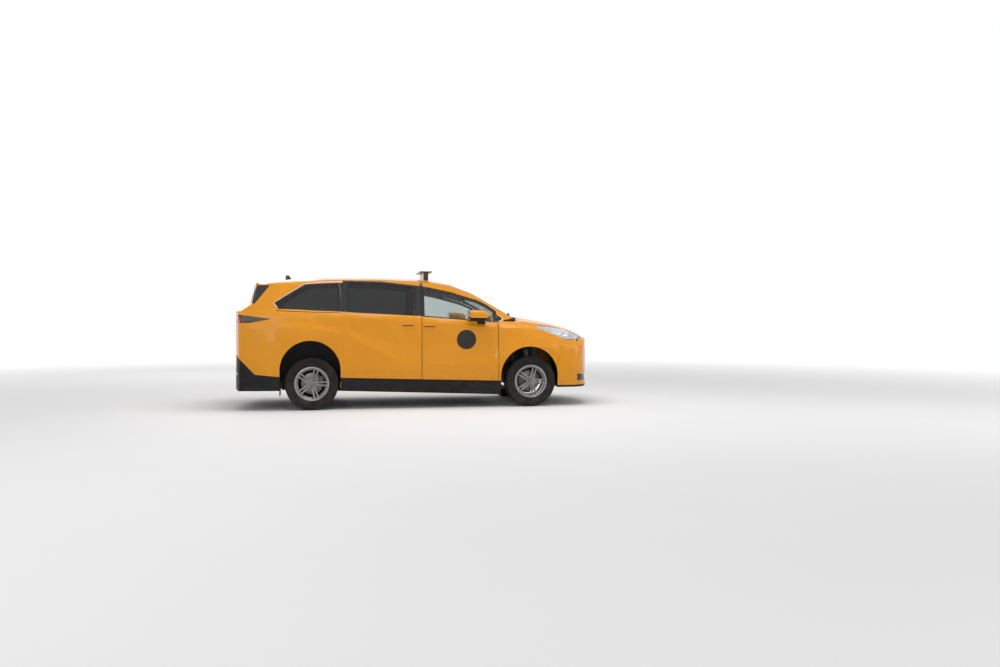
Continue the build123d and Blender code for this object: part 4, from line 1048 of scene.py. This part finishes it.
# Headlamps: three eyes with bezels, and a light strip along the lower edge
lens_surface = surface_of("headlamp_lenses")
eyes = ((2.290, 1.003, 0.024), (2.190, 1.018, 0.026), (2.080, 1.035, 0.024))
eye_back, eye_sink, eye_bulge = 0.012, 0.034, 0.014
bezel_step = 0.003
strip_line = millimetres([(1800, 1083), (1950, 1030), (2104, 972), (2260, 974), (2370, 990)])
strip_sink = 0.014
for side, sign in sides.items():
    look = (0.75, sign * 0.65, 0.05)
    for number, (x, z, radius) in enumerate(eyes, start=1):
        centre = from_side(lens_surface, x, z, sign) - Vector((eye_back, sign * eye_sink, 0.0))
        dome(f"headlamp_eye_{number}_{side}", centre, radius, eye_bulge, look, lamp_glass)
        hoop(f"headlamp_bezel_{number}_{side}", centre, radius + bezel_step, 0.0035, look, bright_trim)
    inward = Vector((0.0, -sign * strip_sink, 0.0))
    strip = [from_side(lens_surface, x, z, sign) + inward for x, z in strip_line]
    bead(f"headlamp_strip_{side}", along(strip), 0.005, light_strip)

# Tail lamps: the front of each is smoked
smoked = millimetres([(-2395, 1150), (-2000, 1150), (-2000, 1320), (-2430, 1320)])
for side, sign in sides.items():
    layer(f"tail_lamp_smoke_{side}", "tail_lamps", smoked, (0.0, sign, 0.0), gloss_black)

# Beside the wheels: shields along the cab, splash plates across it and mud flaps. Name, centre on the left,
# size, edge
wheel_guards = (
    ("inner_shield_front_wheel_back", (1.155, 0.598, 0.385), (0.090, 0.006, 0.240), 0.0025),
    ("inner_shield_front_wheel_front", (1.9475, 0.598, 0.385), (0.065, 0.006, 0.240), 0.0025),
    ("inner_shield_rear_wheel_front", (-1.260, 0.690, 0.385), (0.280, 0.006, 0.240), 0.0025),
    ("inner_shield_rear_wheel_back", (-1.7575, 0.690, 0.385), (0.315, 0.006, 0.240), 0.0025),
    ("splash_plate_front_wheel_back", (1.107, 0.775, 0.365), (0.006, 0.310, 0.200), 0.0025),
    ("splash_plate_front_wheel_front", (2.000, 0.775, 0.365), (0.006, 0.310, 0.200), 0.0025),
    ("splash_plate_rear_wheel_front", (-1.117, 0.775, 0.365), (0.006, 0.310, 0.200), 0.0025),
    ("mud_flap", (-1.925, 0.868, 0.325), (0.010, 0.165, 0.245), 0.0045),
)
# The runner slot of the sliding doors, in millimetres
runner = [(-1098, 1330), (-1500, 1341), (-1975, 1360)]
for side, sign in sides.items():
    for name, (x, y, z), size, edge in wheel_guards:
        block(f"{name}_{side}", (x, sign * y, z), size, black_trim, edge=edge)
    side_bead(f"slider_runner_{side}", surface_of(f"body_side_{side}"), runner, sign, 0.004, black_trim)

# Rubber in the gap over the front door, found on the body just above it, and the corner plates between
# pillar foot and fender
door_top_gap = millimetres([(40, 1726), (447, 1630), (794, 1531), (937, 1470), (1098, 1364), (1098, 1318)])
gap_rise, gap_depth = 0.012, 0.014
corner_x, corner_y, corner_z = 1.266, 0.736, 1.2375
corner_size = (0.150, 0.090, 0.016)
for side, sign in sides.items():
    carrier = surface_of(f"body_side_{side}", f"front_door_{side}")
    rubber = []
    for point in along([side_view(*point) for point in door_top_gap], 0.05):
        hit = from_side(carrier, point.x, point.z + gap_rise, sign)
        if hit:
            rubber.append(Vector((point.x, hit.y - sign * gap_depth, point.z)))
    bead(f"door_gap_rubber_{side}", rubber, 0.0065, tyre_rubber)
    block(f"cowl_corner_{side}", (corner_x, sign * corner_y, corner_z), corner_size, black_trim, edge=0.003,
          turn=(-sign * 15.0, -9.0, 0.0))

# Roof ditch mouldings: x and distance from the middle, millimetres
roof_surface = surface_of("body_side_right", "body_side_left")
ditch_line = millimetres([
    (1330, 674), (1050, 658), (750, 671), (506, 687), (100, 700), (-600, 709), (-1400, 696), (-2120, 648),
])
for side, sign in sides.items():
    places = along([Vector((x, sign * y, 3.0)) for x, y in ditch_line], 0.06)
    hits = [onto(roof_surface, place, (0.0, 0.0, -1.0)) for place in places]
    bead(f"roof_ditch_{side}", [hit for hit in hits if hit], 0.004, black_trim)

# Rear end: painted middle of the bumper, garnish between the lamps, plate recess, grip, spoiler with a high
# stop lamp, wiper, reflectors and lamp rows
rear = (-1.0, 0.0, 0.0)
tailgate_body = body_of("tailgate")
tailgate_surface = surface_of("tailgate", "tailgate_glass", "rear_bumper")


def on_tail(y, z, lift):
    """The point behind the tail at y and z in metres, lifted off the surface."""
    return onto(tailgate_surface, (-4.0, y, z), (1.0, 0.0, 0.0)) - Vector((lift, 0.0, 0.0))


bumper_middle = both_sides([(0.640, 0.760), (0.560, 0.520)])
garnish = both_sides([(0.536, 1.206), (0.536, 1.250)])
plate_recess = both_sides([(0.275, 0.905), (0.275, 1.045)])
layer("bumper_middle", "rear_bumper", bumper_middle, rear, taxi_yellow, 0.002, rear_view)
layer("tailgate_garnish", "tailgate", garnish, rear, gloss_black, 0.0012, rear_view)
layer("plate_recess", "tailgate", plate_recess, rear, black_trim, 0.0012, rear_view)
recess_edge = along([on_tail(y, z, -0.004) for y, z in plate_recess + plate_recess[:1]])
bead("plate_recess_edge", recess_edge, 0.005, taxi_yellow, tailgate_body)
block("tailgate_grip", on_tail(0.0, 1.075, -0.016), (0.034, 0.440, 0.034), gloss_black, tailgate_body, 0.008)

wedge_front_x, wedge_rear_x = -2.179, -2.258
wedge = [(wedge_rear_x, 1.600), (wedge_front_x, 1.600), (wedge_front_x, 1.850), (wedge_rear_x, 1.850)]


def wedge_share(point):
    """The spoiler's thickness grows from nothing at its front to the whole at its rear."""
    return max(0.0, min(1.0, (wedge_front_x - point.x) / (wedge_front_x - wedge_rear_x)))


layer("spoiler", "tailgate", wedge, (0.0, 0.0, 1.0), taxi_yellow, 0.026, share=wedge_share)
stop_lamp_centre = (wedge_rear_x - 0.001, 0.0, 1.787)
block("high_stop_lamp", stop_lamp_centre, (0.006, 0.300, 0.012), red_glass, tailgate_body, 0.002)

rear_blade = [on_tail(-0.02 + 0.036 * step, 1.476 + 0.0035 * step, 0.010) for step in range(13)]
rear_pivot = on_tail(0.0, 1.405, 0.012)
rear_arm = [rear_pivot, on_tail(0.06, 1.440, 0.024), rear_blade[6] - Vector((0.006, 0.0, 0.0))]
bead("rear_wiper_blade", rear_blade, 0.005, tyre_rubber, tailgate_body)
bead("rear_wiper_arm", rear_arm, 0.006, black_trim, tailgate_body)
hoop("rear_wiper_pivot", rear_pivot, 0.016, 0.007, (-0.8, 0.0, 0.6), black_trim, tailgate_body)

row_inner_y, row_outer_y, row_z = 0.560, 0.700, 1.228
for side, sign in sides.items():
    reflector = [(sign * y, z) for y, z in ((0.600, 0.470), (0.600, 0.505), (0.760, 0.520), (0.760, 0.485))]
    layer(f"bumper_reflector_{side}", "rear_bumper", reflector, rear, red_glass, 0.004, rear_view)
    lamp_row = [on_tail(sign * y, row_z, -0.001) for y in (row_inner_y, row_outer_y)]
    bead(f"tail_light_row_{side}", lamp_row, 0.004, light_strip, tailgate_body)

# Front end: the dark middle of the bumper with its slats and rim, and the blank faces of the roof sign
front = (1.0, 0.0, 0.0)
bumper_surface = surface_of("front_bumper")
grille_low, grille_high = 0.480, 0.820
grille_low_half, grille_high_half = 0.470, 0.560
slat_count, slat_low, slat_pitch, slat_gap = 9, 0.505, 0.0365, 0.008
slat_sink, rim_sink = 0.0045, 0.0055


def on_front(y, z, depth):
    """The point of the front bumper at y and z in metres, sunk into its surface."""
    return onto(bumper_surface, (4.0, y, z), (-1.0, 0.0, 0.0)) - Vector((depth, 0.0, 0.0))


grille = both_sides([(grille_low_half, grille_low), (grille_high_half, grille_high)])
layer("grille_backing", "front_bumper", grille, front, gloss_black, 0.0004, rear_view)
for number in range(slat_count):
    z = slat_low + slat_pitch * number
    half = grille_low_half - slat_gap
    half += (grille_high_half - grille_low_half) * (z - grille_low) / (grille_high - grille_low)
    slat = [on_front(half * (step / 10.0 - 1.0), z, slat_sink) for step in range(21)]
    bead(f"grille_slat_{number + 1}", slat, 0.006, black_trim)
rim_rows = along([rear_view(y, z) for y, z in grille + grille[:1]], 0.06)
bead("grille_rim", [on_front(point.y, point.z, rim_sink) for point in rim_rows], 0.007, gloss_black)
sign_panel = both_sides([(0.270, 1.815), (0.270, 1.930)])
for facing_name, facing in (("front", front), ("rear", rear)):
    layer(f"sign_panel_{facing_name}", "roof_sign", sign_panel, facing, sign_panel_white, 0.0015, rear_view)

# Brake calipers seen through the wheels, placed from the wheel's centre
caliper_size = (0.058, 0.085, 0.150)
caliper_x, caliper_y, caliper_z = 0.128, 0.040, 0.03
for (axle, side), centre in wheel_centre.items():
    body, x = (body_of(f"knuckle_{side}"), -caliper_x) if axle == "front" else ("body", caliper_x)
    place = centre + Vector((x, -sides[side] * caliper_y, caliper_z))
    block(f"caliper_{axle}_{side}", place, caliper_size, cast_metal, body, 0.008)

# Cabin: name, centre, size, material, edge, lean in degrees, taper
for name, centre, size, material, edge, lean, taper in (
    ("centre_screen", (0.838, 0.0, 1.135), (0.020, 0.260, 0.160), gloss_black, 0.004, -18.0, 1.0),
    ("gauge_hood", (0.862, 0.370, 1.135), (0.120, 0.340, 0.070), cabin_plastic, 0.016, 0.0, 0.86),
    ("dash_vent_1", (0.812, 0.66, 1.025), (0.020, 0.120, 0.070), gloss_black, 0.004, -12.0, 1.0),
    ("dash_vent_2", (0.812, -0.66, 1.025), (0.020, 0.120, 0.070), gloss_black, 0.004, -12.0, 1.0),
    ("inner_mirror", (0.720, 0.0, 1.535), (0.028, 0.230, 0.062), gloss_black, 0.010, 12.0, 1.0),
    ("pedal_1", (1.035, 0.400, 0.440), (0.020, 0.060, 0.090), tyre_rubber, 0.004, 25.0, 1.0),
    ("pedal_2", (1.035, 0.260, 0.420), (0.020, 0.060, 0.090), tyre_rubber, 0.004, 25.0, 1.0),
):
    block(name, centre, size, material, edge=edge, turn=(0.0, lean, 0.0), taper=taper)
